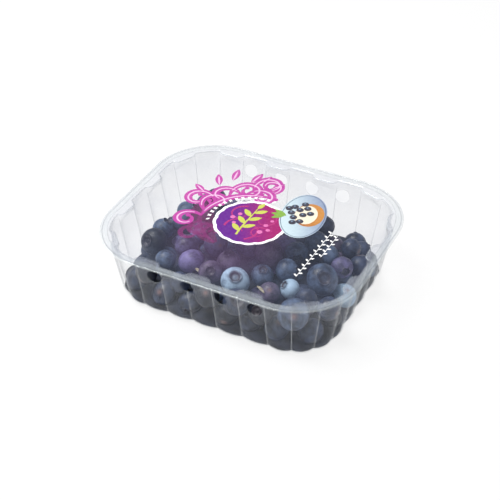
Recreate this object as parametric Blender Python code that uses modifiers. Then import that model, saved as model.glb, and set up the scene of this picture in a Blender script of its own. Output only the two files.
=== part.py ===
"""Punnet of blueberries: a clear fluted tray, its sealed film and the heap of berries inside.

Metres, +Z up. The origin is under the middle of the base, +X runs along the long side,
and -Y is the side with the vents that faces the viewer.
"""
import math

import bmesh
import bpy
import numpy as np
from mathutils import Vector

OBJECT_NAME = "punnet_of_blueberries"

# Rim of the tray
RIM_LENGTH = 0.160
RIM_WIDTH = 0.134
RIM_CORNER_RADIUS = 0.0394
RIM_HEIGHT = 0.0410

# Wall of the tray, by how far each line lies inside the rim's outer edge
WALL_THICKNESS = 0.0005
FLANGE_WIDTH = 0.0046
LIP_DROP = 0.0004
EDGE_ROUNDING = 0.0003
STEP_DROP = 0.0007
LUG_DROP = 0.0042
WALL_TOP_DROP = 0.0070
WALL_TOP_INSET = 0.0068
WALL_FOOT_INSET = 0.0124
WALL_FOOT_HEIGHT = 0.0036
BASE_RING_OUTER_INSET = 0.0154
BASE_RING_INNER_INSET = 0.0206
PANEL_INSET = 0.0220
PANEL_RISE = 0.0012
KNUCKLE_RISE = 0.0008

# Flutes round the wall, and the stacking lugs above every second flute
FLUTE_COUNT = 30
FLUTE_SAMPLES = 3
FLUTE_DEPTH = 0.0015
FIRST_CREASE = 0.0047
LUG_DEPTH = 0.0038
LUG_FOOT_SHARE = 0.6
KNUCKLE_SHARE = 0.9
RING_SHARE = 0.4

# Vents under the rim, through both long walls
VENT_RADIUS = 0.0043
VENT_SPACING = 0.0208
VENT_HEIGHT = 0.0308
VENT_COUNT = 4
VENT_SIDES = 16

# Sealing film
FILM_THICKNESS = 0.0003
FILM_INSET = 0.0006
FILM_CORNER_STEPS = 9

# Clear gap kept between pieces that touch
GAP = 0.0003

# Heap of berries
HEAP_SEED = 11
BERRY_RADIUS_MIN = 0.0061
BERRY_RADIUS_MAX = 0.0077
LAYER_HEIGHTS = (0.0090, 0.0205)
LAYER_SPACING = 0.0139
LAYER_SCATTER = 0.12
WALL_CROWDING = 0.75
UPPER_END = -0.052
UPPER_BACK = 0.044
UPPER_MIDDLE = 0.010
UPPER_FALL = 0.25
PLACED_YIELD = 0.12
SETTLE_STEPS = 500
SETTLE_FALL = 0.00006
SETTLE_PUSH = 0.35
WALL_LEAN = 1.02
CROWDING = 0.84
CORE_CORNER_STEPS = 6
BLOCK_FOOT = 0.0100
BLOCK_TOP = 0.0165
BERRY_FACETS = 2
UNDERSIDE_DEPTH = 0.030
UNDERSIDE_HEIGHT = 0.013
UNDERSIDE_SIDES = 6
UNDERSIDE_BANDS = 4

# Core inside the heap: inset and height, from its upper edge out to the wall's foot and under
CORE_PROFILE = (
    (0.0215, 0.0130), (0.0215, 0.0085), (0.0140, 0.0048), (0.0137, 0.0032),
    (0.0146, 0.0015), (0.0157, 0.0010), (0.0202, 0.0010), (0.0260, 0.0075),
)

# Outline of the block on the core that carries the upper layer, as x and y in millimetres
BLOCK_OUTLINE = (
    (-54, -26), (-46, -42), (-38, -45), (46, -45), (56, -36), (58, -28), (58, 14),
    (50, 28), (30, 38), (12, 40), (-40, 34), (-50, 6), (-54, -8),
)

# Berries that show on top and through the front, as x, y, z and radius in millimetres
PLACED_BERRIES = (
    (-53, -22, 22, 7.9), (-56, -8, 22, 6.6), (-49, 3, 22, 6.6), (-35, -17, 22, 7.6),
    (-25, -29, 22, 8.0), (-40, -33, 21, 6.2), (-20, -9, 22, 7.4), (6, -34, 22, 8.4),
    (17, -22, 22, 6.6), (-6, -19, 21, 6.9), (-11, -32, 21, 6.8), (11, -2, 22, 8.4),
    (24, 7, 22, 7.1), (28, -12, 22, 7.2), (27, -33, 21, 6.2), (37, -26, 22, 5.8),
    (46, -29, 19, 6.2), (49, -10, 22, 9.2), (31, 20, 22, 6.8), (42, 13, 22, 6.6),
    (55, 5, 22, 6.6), (50, 25, 18, 6.2), (55, 36, 13, 6.2), (61, 16, 18, 6.8),
    (29, 38, 20, 6.8), (-42, 31, 21, 6.9), (-45, -47, 19, 6.8), (-4, -49, 20, 7.2),
    (14, -49, 20, 7.6), (30, -49, 20, 7.0), (49, -44, 20, 9.0), (62, -30, 20, 7.0),
    (-53, -43, 9, 7.4), (-15, -46, 9, 7.0), (5, -46, 9, 7.0), (22, -46, 9, 7.0),
    (38, -46, 9, 7.2), (55, -41, 9, 7.4), (64, -24, 9, 7.2), (-31, -46, 9, 7.2),
)


def remove_everything():
    """Clear the file of the objects it opened with."""
    for item in list(bpy.data.objects):
        bpy.data.objects.remove(item, do_unlink=True)


def new_collection(name):
    collection = bpy.data.collections.new(name)
    bpy.context.scene.collection.children.link(collection)
    return collection


def plain_material(name, colour, roughness, metallic=0.0, alpha=1.0):
    material = bpy.data.materials.new(name)
    material.use_nodes = True
    shader = material.node_tree.nodes["Principled BSDF"]
    shader.inputs["Base Color"].default_value = (*colour, 1.0)
    shader.inputs["Roughness"].default_value = roughness
    shader.inputs["Metallic"].default_value = metallic
    shader.inputs["Alpha"].default_value = alpha
    return material


def add_mesh(name, points, faces, collection):
    mesh = bpy.data.meshes.new(name)
    mesh.from_pydata([tuple(point) for point in points], [], faces)
    mesh.update()
    item = bpy.data.objects.new(name, mesh)
    collection.objects.link(item)
    return item


def applied_mesh(item):
    """Turn an object's modifiers or curve into plain mesh data."""
    evaluated = item.evaluated_get(bpy.context.evaluated_depsgraph_get())
    return bpy.data.meshes.new_from_object(evaluated)


def rim_path(distances):
    """Follow the rounded rectangle round from the middle of the front.

    Returns the corner centres that the outline turns about and the outward directions.
    A point of the outline is its centre plus the corner radius times its direction.
    """
    side = RIM_LENGTH / 2 - RIM_CORNER_RADIUS
    end = RIM_WIDTH / 2 - RIM_CORNER_RADIUS
    turn = math.pi / 2 * (RIM_CORNER_RADIUS - WALL_TOP_INSET)
    runs = np.array([side, turn, 2 * end, turn, 2 * side, turn, 2 * end, turn, side])
    stops = np.concatenate(([0.0], np.cumsum(runs)))
    along = np.mod(distances, stops[-1])
    centre_x = np.interp(along, stops, [0, side, side, side, side, -side, -side, -side, -side, 0])
    centre_y = np.interp(along, stops, [-end, -end, -end, end, end, end, end, -end, -end, -end])
    angle = np.interp(along, stops, np.radians([-90, -90, 0, 0, 90, 90, 180, 180, 270, 270]))
    centres = np.stack([centre_x, centre_y], axis=1)
    directions = np.stack([np.cos(angle), np.sin(angle)], axis=1)
    return centres, directions


def rim_path_length():
    side = RIM_LENGTH / 2 - RIM_CORNER_RADIUS
    end = RIM_WIDTH / 2 - RIM_CORNER_RADIUS
    return 4 * side + 4 * end + 2 * math.pi * (RIM_CORNER_RADIUS - WALL_TOP_INSET)


def rounded_corners(inset, steps):
    """Points of the rounded rectangle at an inset, with its corners as arcs."""
    radius = RIM_CORNER_RADIUS - inset
    side = RIM_LENGTH / 2 - RIM_CORNER_RADIUS
    end = RIM_WIDTH / 2 - RIM_CORNER_RADIUS
    points = []
    for quarter, (sign_x, sign_y) in enumerate(((1, 1), (-1, 1), (-1, -1), (1, -1))):
        for step in range(steps):
            angle = math.pi / 2 * (quarter + step / (steps - 1))
            x = sign_x * side + radius * math.cos(angle)
            y = sign_y * end + radius * math.sin(angle)
            points.append((x, y))
    return points


def faces_between_rings(rings, count):
    """Four-sided faces that join each ring of points to the next."""
    faces = []
    for ring in range(rings - 1):
        for step in range(count):
            here = ring * count + step
            beside = ring * count + (step + 1) % count
            faces.append((here, here + count, beside + count, beside))
    return faces


def tray_profile():
    """Rings of the tray's outer face: inset, height, share of flute depth, share of lug depth."""
    flange = RIM_HEIGHT - WALL_THICKNESS
    step_inset = (FLANGE_WIDTH + WALL_TOP_INSET) / 2
    knuckle_inset = (WALL_FOOT_INSET + BASE_RING_OUTER_INSET) / 2
    return (
        (WALL_THICKNESS, flange - LIP_DROP, 0.0, 0.0),
        (WALL_THICKNESS + EDGE_ROUNDING, flange, 0.0, 0.0),
        (FLANGE_WIDTH, flange, 0.0, 0.0),
        (step_inset, flange - STEP_DROP, 0.0, 1.0),
        (WALL_TOP_INSET, flange - LUG_DROP, 1.0, LUG_FOOT_SHARE),
        (WALL_TOP_INSET + EDGE_ROUNDING, flange - WALL_TOP_DROP, 1.0, 0.0),
        (WALL_FOOT_INSET, WALL_FOOT_HEIGHT, 1.0, 0.0),
        (knuckle_inset, KNUCKLE_RISE, KNUCKLE_SHARE, 0.0),
        (BASE_RING_OUTER_INSET, 0.0, RING_SHARE, 0.0),
        (BASE_RING_INNER_INSET, 0.0, 0.0, 0.0),
        (PANEL_INSET, PANEL_RISE, 0.0, 0.0),
    )


def build_tray(collection, cutters):
    """Fluted shell with its flange, stacking lugs, vents and raised base panel."""
    count = FLUTE_COUNT * FLUTE_SAMPLES
    place = np.arange(count) / FLUTE_SAMPLES
    spacing = rim_path_length() / FLUTE_COUNT
    centres, directions = rim_path(FIRST_CREASE + place * spacing)
    across = 2 * np.mod(place, 1.0) - 1
    bulge = 1 - across ** 2
    lug = bulge * (np.floor(place) % 2)
    rings = []
    for inset, height, flute_share, lug_share in tray_profile():
        out = FLUTE_DEPTH * flute_share * bulge - LUG_DEPTH * lug_share * lug
        reach = RIM_CORNER_RADIUS - inset + out
        flat = centres + directions * reach[:, None]
        rings.append(np.column_stack([flat, np.full(count, height)]))
    points = np.concatenate(rings)
    faces = faces_between_rings(len(rings), count)
    last = (len(rings) - 1) * count
    faces.append(tuple(last + step for step in reversed(range(count))))
    tray = add_mesh("tray", points, faces, collection)
    shell = tray.modifiers.new("Wall", 'SOLIDIFY')
    shell.thickness = WALL_THICKNESS
    shell.offset = -1.0
    shell.use_even_offset = True
    for vent in build_vent_cutters(cutters):
        cut = tray.modifiers.new("Vent", 'BOOLEAN')
        cut.operation = 'DIFFERENCE'
        cut.solver = 'EXACT'
        cut.object = vent
    return tray


def build_vent_cutters(cutters):
    """Rods across the tray, one for each pair of facing vents."""
    rods = []
    for index in range(VENT_COUNT):
        mesh = bpy.data.meshes.new("vent_cutter")
        shape = bmesh.new()
        bmesh.ops.create_cone(shape, cap_ends=True, segments=VENT_SIDES, radius1=VENT_RADIUS,
                              radius2=VENT_RADIUS, depth=2 * RIM_WIDTH)
        shape.to_mesh(mesh)
        shape.free()
        rod = bpy.data.objects.new("vent_cutter", mesh)
        rod.location = ((index - (VENT_COUNT - 1) / 2) * VENT_SPACING, 0.0, VENT_HEIGHT)
        rod.rotation_euler = (math.pi / 2, 0.0, 0.0)
        rod.hide_render = True
        rod.display_type = 'WIRE'
        cutters.objects.link(rod)
        rods.append(rod)
    return rods


def build_film(collection):
    """Flat sheet of film over the whole rim."""
    outline = bpy.data.curves.new("film", 'CURVE')
    outline.dimensions = '2D'
    outline.fill_mode = 'BOTH'
    outline.extrude = FILM_THICKNESS / 2
    corners = rounded_corners(FILM_INSET, FILM_CORNER_STEPS)
    spline = outline.splines.new('POLY')
    spline.points.add(len(corners) - 1)
    for point, (x, y) in zip(spline.points, corners):
        point.co = (x, y, 0.0, 1.0)
    spline.use_cyclic_u = True
    film = bpy.data.objects.new("film", outline)
    film.location = (0.0, 0.0, RIM_HEIGHT + GAP + FILM_THICKNESS / 2)
    collection.objects.link(film)
    return film


def inner_wall_inset(height):
    """Inset of the tray's inner face, at its creases, with the gap to the berries."""
    heights = [0.0, WALL_FOOT_HEIGHT, RIM_HEIGHT - WALL_THICKNESS - LUG_DROP, RIM_HEIGHT]
    insets = [BASE_RING_OUTER_INSET, WALL_FOOT_INSET, WALL_TOP_INSET, WALL_TOP_INSET]
    return np.interp(height, heights, insets) + WALL_THICKNESS + GAP


def outward_of_outline(centres):
    """How far each point lies inside the rim's outline, and the way out of it."""
    side = RIM_LENGTH / 2 - RIM_CORNER_RADIUS
    end = RIM_WIDTH / 2 - RIM_CORNER_RADIUS
    beyond = np.abs(centres[:, :2]) - (side, end)
    outside = np.maximum(beyond, 0.0)
    reach = np.linalg.norm(outside, axis=1)
    depth = RIM_CORNER_RADIUS - reach - np.minimum(beyond.max(axis=1), 0.0)
    nearest = np.where(beyond == beyond.max(axis=1)[:, None], 1.0, 0.0)
    way = np.where(reach[:, None] > 0.0, outside / np.maximum(reach, 1e-9)[:, None], nearest)
    return depth, way * np.sign(centres[:, :2])


def loose_berries(rng, placed):
    """Layers of berries in staggered rows, left out where a placed berry lies.

    The upper layer stops short of the -X end and falls away towards the back corners.
    """
    centres = []
    for layer, height in enumerate(LAYER_HEIGHTS):
        rows = int(RIM_WIDTH / (LAYER_SPACING * math.sqrt(3) / 2)) + 1
        columns = int(RIM_LENGTH / LAYER_SPACING) + 1
        for row in range(-rows, rows + 1):
            for column in range(-columns, columns + 1):
                x = (column + (row % 2) / 2 + layer / 2) * LAYER_SPACING
                y = (row + layer / 3) * LAYER_SPACING * math.sqrt(3) / 2
                centres.append((x, y, height))
    centres = np.array(centres)
    lower = centres[:, 2] < LAYER_HEIGHTS[1]
    centres += rng.uniform(-1, 1, centres.shape) * LAYER_SPACING * LAYER_SCATTER
    radii = rng.uniform(BERRY_RADIUS_MIN, BERRY_RADIUS_MAX, len(centres))
    depth, _ = outward_of_outline(centres)
    fits = depth > inner_wall_inset(centres[:, 2]) + radii * WALL_CROWDING
    back = UPPER_BACK - UPPER_FALL * np.abs(centres[:, 0] - UPPER_MIDDLE)
    upper = (centres[:, 0] > UPPER_END) & (centres[:, 1] < back)
    kept = fits & (lower | upper)
    centres = centres[kept]
    radii = radii[kept]
    apart = np.linalg.norm(centres[:, None, :] - placed[None, :, :3], axis=2)
    clear = np.all(apart > (radii[:, None] + placed[None, :, 3]) * CROWDING, axis=1)
    return np.column_stack([centres[clear], radii[clear]])


def settle_heap():
    """Let the loose berries fall and push each other apart round the placed ones.

    Returns one row for each berry: its centre and its radius.
    """
    rng = np.random.default_rng(HEAP_SEED)
    listed = np.array(PLACED_BERRIES) * 0.001
    heap = np.concatenate([listed, loose_berries(rng, listed)])
    centres = heap[:, :3]
    radii = heap[:, 3]
    free = np.arange(len(heap)) >= len(listed)
    ease = np.where(free, 1.0, PLACED_YIELD)[:, None]
    least = radii[:, None] + radii[None, :]
    np.fill_diagonal(least, 0.0)
    floor = PANEL_RISE + WALL_THICKNESS + GAP
    for _ in range(SETTLE_STEPS):
        centres[free, 2] -= SETTLE_FALL
        between = centres[:, None, :] - centres[None, :, :]
        apart = np.linalg.norm(between, axis=2)
        overlap = np.maximum(least - apart, 0.0)
        push = between * (overlap / np.maximum(apart, 1e-9))[:, :, None]
        centres += push.sum(axis=1) * SETTLE_PUSH * ease
        depth, way = outward_of_outline(centres)
        short = np.maximum(inner_wall_inset(centres[:, 2]) + radii * WALL_LEAN - depth, 0.0)
        centres[:, :2] -= way * short[:, None]
        centres[:, 2] = np.maximum(centres[:, 2], floor + radii)
        centres[:, 2] = np.minimum(centres[:, 2], RIM_HEIGHT - GAP - radii)
    return np.column_stack([centres, radii])


def build_core(collection):
    """Core inside the heap that the berries are joined to, down to the foot of the wall."""
    points = []
    for inset, height in CORE_PROFILE:
        points += [(x, y, height) for x, y in rounded_corners(inset, CORE_CORNER_STEPS)]
    rings = len(CORE_PROFILE)
    count = len(points) // rings
    faces = faces_between_rings(rings, count)
    faces.append(tuple(range(count)))
    faces.append(tuple(reversed(range((rings - 1) * count, rings * count))))
    return add_mesh("berries", points, faces, collection)


def add_block(collection):
    """Block on the core, under the upper layer."""
    mesh = bpy.data.meshes.new("upper_block")
    shape = bmesh.new()
    base = [shape.verts.new((x * 0.001, y * 0.001, BLOCK_FOOT)) for x, y in BLOCK_OUTLINE]
    face = shape.faces.new(base)
    raised = bmesh.ops.extrude_face_region(shape, geom=[face])["geom"]
    lifted = [item for item in raised if isinstance(item, bmesh.types.BMVert)]
    bmesh.ops.translate(shape, verts=lifted, vec=Vector((0.0, 0.0, BLOCK_TOP - BLOCK_FOOT)))
    bmesh.ops.recalc_face_normals(shape, faces=shape.faces)
    shape.to_mesh(mesh)
    shape.free()
    block = bpy.data.objects.new("upper_block", mesh)
    collection.objects.link(block)


def add_berry(collection, centre, radius, spin, underside):
    """One faceted berry, with fewer sides where only its underside shows."""
    mesh = bpy.data.meshes.new("one_berry")
    shape = bmesh.new()
    if underside:
        bmesh.ops.create_uvsphere(shape, u_segments=UNDERSIDE_SIDES, v_segments=UNDERSIDE_BANDS,
                                  radius=radius)
    else:
        bmesh.ops.create_icosphere(shape, subdivisions=BERRY_FACETS, radius=radius)
    shape.to_mesh(mesh)
    shape.free()
    berry = bpy.data.objects.new("one_berry", mesh)
    berry.location = centre
    berry.rotation_euler = spin
    collection.objects.link(berry)


def keep_largest_island(mesh):
    """Drop loose scraps and the skins of sealed hollows."""
    shape = bmesh.new()
    shape.from_mesh(mesh)
    unseen = set(shape.verts)
    islands = []
    while unseen:
        start = unseen.pop()
        island = {start}
        front = [start]
        while front:
            vert = front.pop()
            for edge in vert.link_edges:
                other = edge.other_vert(vert)
                if other in unseen:
                    unseen.discard(other)
                    island.add(other)
                    front.append(other)
        islands.append(island)
    islands.sort(key=len, reverse=True)
    for island in islands[1:]:
        bmesh.ops.delete(shape, geom=list(island), context='VERTS')
    shape.to_mesh(mesh)
    shape.free()


def build_berries(collection):
    """Heap out to its uneven outline: the core with every berry fused on."""
    core = build_core(collection)
    pieces = new_collection("berry_pieces")
    add_block(pieces)
    rng = np.random.default_rng(HEAP_SEED + 1)
    heap = settle_heap()
    depth, _ = outward_of_outline(heap)
    inside = (depth > UNDERSIDE_DEPTH) & (heap[:, 2] < UNDERSIDE_HEIGHT)
    for (x, y, z, radius), underside in zip(heap, inside):
        spin = rng.uniform(0.0, 2 * math.pi, 3)
        if underside:
            spin = spin * (0.0, 0.0, 1.0)
        add_berry(pieces, (x, y, z), radius, tuple(spin), underside)
    join = core.modifiers.new("Join", 'BOOLEAN')
    join.operation = 'UNION'
    join.solver = 'EXACT'
    join.operand_type = 'COLLECTION'
    join.collection = pieces
    fused = applied_mesh(core)
    keep_largest_island(fused)
    core.modifiers.remove(join)
    core.data = fused
    for piece in list(pieces.objects):
        bpy.data.objects.remove(piece, do_unlink=True)
    bpy.data.collections.remove(pieces)
    return core


def main():
    remove_everything()
    parts = new_collection(OBJECT_NAME)
    cutters = new_collection("cutters")
    tray = build_tray(parts, cutters)
    tray.data.materials.append(plain_material("clear_tray", (0.80, 0.84, 0.84), 0.12, alpha=0.35))
    film = build_film(parts)
    film.data.materials.append(plain_material("clear_film", (0.90, 0.92, 0.92), 0.06, alpha=0.25))
    berries = build_berries(parts)
    berries.data.materials.append(plain_material("berry_skin", (0.055, 0.070, 0.140), 0.55))


main()
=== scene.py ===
"""Punnet of blueberries: a clear fluted tray, its sealed printed film and the berries inside.

Metres, +Z up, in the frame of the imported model. The tray's long side runs along X and the
side with the vents that faces the viewer is -Y. Flutes are counted round the wall from the
middle of that side.
"""
import logging
import math
from dataclasses import dataclass
from enum import Enum

import bpy
import numpy as np
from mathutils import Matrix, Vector


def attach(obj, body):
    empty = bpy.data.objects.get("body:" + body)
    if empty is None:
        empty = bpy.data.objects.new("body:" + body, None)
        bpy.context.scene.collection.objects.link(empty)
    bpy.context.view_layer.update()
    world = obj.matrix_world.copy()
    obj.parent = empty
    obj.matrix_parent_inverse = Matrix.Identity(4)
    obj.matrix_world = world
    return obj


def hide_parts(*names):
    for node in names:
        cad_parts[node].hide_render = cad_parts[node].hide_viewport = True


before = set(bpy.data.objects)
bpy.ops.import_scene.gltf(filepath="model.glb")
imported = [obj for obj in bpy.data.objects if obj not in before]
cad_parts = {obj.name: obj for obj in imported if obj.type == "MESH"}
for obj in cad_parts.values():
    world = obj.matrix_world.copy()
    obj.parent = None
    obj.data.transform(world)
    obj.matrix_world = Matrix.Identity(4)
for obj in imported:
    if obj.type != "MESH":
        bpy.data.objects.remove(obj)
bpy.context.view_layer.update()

MM = 0.001
BODY = "root"
WHITE = (1.0, 1.0, 1.0, 1.0)
HARDLY_ANY = 1e-9

# The viewer's right, up and towards, as directions in the punnet's frame
VIEW_RIGHT = (0.893, 0.450, 0.0)
VIEW_UP = (-0.272, 0.539, 0.798)
VIEW_TOWARDS = (0.359, -0.712, 0.603)

log = logging.getLogger("punnet")

Colour = tuple[float, float, float, float]
Place = tuple[float, float, float]
Pair = tuple[float, float]


def tint(red: int, green: int, blue: int) -> Colour:
    """Turn a screen colour into the linear colour that a shader takes.

    Args:
        red: red from 0 to 255.
        green: green from 0 to 255.
        blue: blue from 0 to 255.

    Returns:
        Linear red, green and blue, and an alpha of 1.
    """
    shares = np.array([red, green, blue]) / 255
    linear = np.where(shares <= 0.04045, shares / 12.92, ((shares + 0.055) / 1.055) ** 2.4)
    return (*[float(value) for value in linear], 1.0)


def spread(limits: Pair, draws: np.ndarray) -> np.ndarray:
    """Carry draws from 0 to 1 evenly to lie between two limits."""
    return limits[0] + (limits[1] - limits[0]) * draws


def full_turn(count: int) -> np.ndarray:
    """Angles spaced evenly round a circle, from 0."""
    return np.linspace(0, 2 * math.pi, count, endpoint=False)


def swell(share: np.ndarray, least: float, gain: float, power: float) -> np.ndarray:
    """Width that swells between two ends: the least plus the gain times sin(pi s)^power."""
    return least + gain * np.sin(math.pi * share) ** power


def raised(flat: np.ndarray, height: np.ndarray) -> np.ndarray:
    """Give each flat point its height."""
    return np.concatenate([flat, height[..., None]], axis=-1)


class Wire:
    """An output socket, on which Python's operators add Math nodes."""

    def __init__(self, graph: "Graph", socket: bpy.types.NodeSocket) -> None:
        """Keep the socket and the graph that it belongs to."""
        self.graph = graph
        self.socket = socket

    def maths(self, operation: str, *values: "Wire | float") -> "Wire":
        """Add one Math node with this operation on these values, and take its output."""
        return self.graph.add("ShaderNodeMath", {"operation": operation}, dict(enumerate(values)))

    def __add__(self, other: "Wire | float") -> "Wire":
        """Sum."""
        return self.maths("ADD", self, other)

    def __radd__(self, other: float) -> "Wire":
        """Sum, number first."""
        return self.maths("ADD", other, self)

    def __sub__(self, other: "Wire | float") -> "Wire":
        """Difference."""
        return self.maths("SUBTRACT", self, other)

    def __rsub__(self, other: float) -> "Wire":
        """Difference, number first."""
        return self.maths("SUBTRACT", other, self)

    def __mul__(self, other: "Wire | float") -> "Wire":
        """Product."""
        return self.maths("MULTIPLY", self, other)

    def __rmul__(self, other: float) -> "Wire":
        """Product, number first."""
        return self.maths("MULTIPLY", other, self)

    def __truediv__(self, other: "Wire | float") -> "Wire":
        """Quotient."""
        return self.maths("DIVIDE", self, other)

    def __pow__(self, other: float) -> "Wire":
        """Power."""
        return self.maths("POWER", self, other)

    def to_nearest_whole(self) -> "Wire":
        """Distance to the nearest whole number, from 0 to a half."""
        return self.maths("ABSOLUTE", self.maths("FRACT", self + 0.5) - 0.5)

    def near(self, value: float, reach: float) -> "Wire":
        """Soft line round a value: 1 there, and 0 from its reach on."""
        return 1.0 - self.maths("ABSOLUTE", self - value).rise(0.0, reach)

    def rise(self, start: float, end: float) -> "Wire":
        """Smooth step, from 0 at the start value to 1 at the end value."""
        return self.graph.add("ShaderNodeMapRange", {"interpolation_type": "SMOOTHSTEP"},
                              {"Value": self, "From Min": start, "From Max": end})


class Graph:
    """A material's nodes: one Principled shader and whatever feeds it."""

    def __init__(self, name: str) -> None:
        """Start a material with its shader and output."""
        self.material = bpy.data.materials.new(name)
        self.material.use_nodes = True
        self.tree = self.material.node_tree
        self.tree.nodes.clear()
        self.shader = self.tree.nodes.new("ShaderNodeBsdfPrincipled")
        output = self.tree.nodes.new("ShaderNodeOutputMaterial")
        self.tree.links.new(self.shader.outputs["BSDF"], output.inputs["Surface"])

    def add(self, kind: str, settings: dict | None = None, inputs: dict | None = None,
            output: int | str = 0) -> Wire:
        """Add any node.

        Args:
            kind: the node's type.
            settings: its properties, set before its sockets.
            inputs: values or wires for its sockets, by name or place.
            output: the output that is wanted, by name or place.

        Returns:
            That output.
        """
        node = self.tree.nodes.new(kind)
        for key, value in (settings or {}).items():
            setattr(node, key, value)
        self.feed(node, inputs or {})
        return Wire(self, node.outputs[output])

    def feed(self, node: bpy.types.Node, inputs: dict) -> None:
        """Set or link a node's sockets, by name or place."""
        for key, value in inputs.items():
            if isinstance(value, Wire):
                self.tree.links.new(value.socket, node.inputs[key])
            else:
                node.inputs[key].default_value = value

    def place(self) -> Wire:
        """Object coordinates, which are the punnet's own."""
        return self.add("ShaderNodeTexCoord", output="Object")

    def noise(self, scale: float, detail: float = 2.0, roughness: float = 0.5) -> Wire:
        """Fractal noise from 0 to 1 in the punnet's coordinates, its scale in features a metre."""
        return self.add("ShaderNodeTexNoise", {}, {
            "Vector": self.place(), "Scale": scale, "Detail": detail, "Roughness": roughness})

    def vector(self, operation: str, first: Wire, second: Place, output: int | str = 0) -> Wire:
        """Add one Vector Math node on a wire and a fixed vector, and take its output."""
        return self.add("ShaderNodeVectorMath", {"operation": operation},
                        {0: first, 1: second}, output)

    def value_of(self, attribute: str) -> Wire:
        """A number that the mesh carries at its points."""
        return self.add("ShaderNodeAttribute", {"attribute_name": attribute}, output="Fac")

    def colour_of(self, attribute: str) -> Wire:
        """A colour that the mesh carries at its points."""
        return self.add("ShaderNodeAttribute", {"attribute_name": attribute}, output="Color")

    def blend(self, share: Wire | float, first: Wire | Colour, second: Wire | Colour) -> Wire:
        """Mix two colours, the share saying how much of the second there is."""
        return self.add("ShaderNodeMix", {"data_type": "RGBA"}, {0: share, 6: first, 7: second},
                        output=2)

    def bump(self, height: Wire, distance: float, strength: float = 1.0) -> Wire:
        """Normal from a height, where a height of 1 stands for the distance in metres."""
        return self.add("ShaderNodeBump", {}, {
            "Height": height, "Distance": distance, "Strength": strength})

    def edge_on(self) -> Wire:
        """How edge-on a face is, from 0 at right angles to 1 at a glancing angle."""
        return self.add("ShaderNodeLayerWeight", {}, {"Blend": 0.5}, output="Facing")

    def mirror_share(self, least: float, most: float) -> Wire:
        """Light thrown back, which rises with how edge-on a face is to the fifth power."""
        return self.edge_on() ** 5.0 * (most - least) + least

    def dress(self, **sockets: "Wire | float | Colour") -> bpy.types.Material:
        """Feed the shader's sockets, by name with _ for a space, and give the material."""
        self.feed(self.shader, {key.replace("_", " "): value for key, value in sockets.items()})
        return self.material


def clear_sheet(graph: Graph, haze: Wire, colour: Wire, mirror: Wire, roughness: float,
                normal: Wire) -> bpy.types.Material:
    """Dress one face of a clear sheet: a faint milky veil under a mirror.

    The face covers what is behind it by its mirror share plus the veil in the rest, and it
    is as metallic as the mirror's part of that cover.

    Args:
        graph: the material being made.
        haze: how much the veil covers.
        colour: the veil's colour.
        mirror: the mirror's share.
        roughness: of the mirror.
        normal: from a bump.

    Returns:
        The material.
    """
    cover = mirror + (1.0 - mirror) * haze
    return graph.dress(Base_Color=colour, Roughness=roughness, Alpha=cover,
                       Metallic=mirror / cover, Normal=normal)


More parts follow.
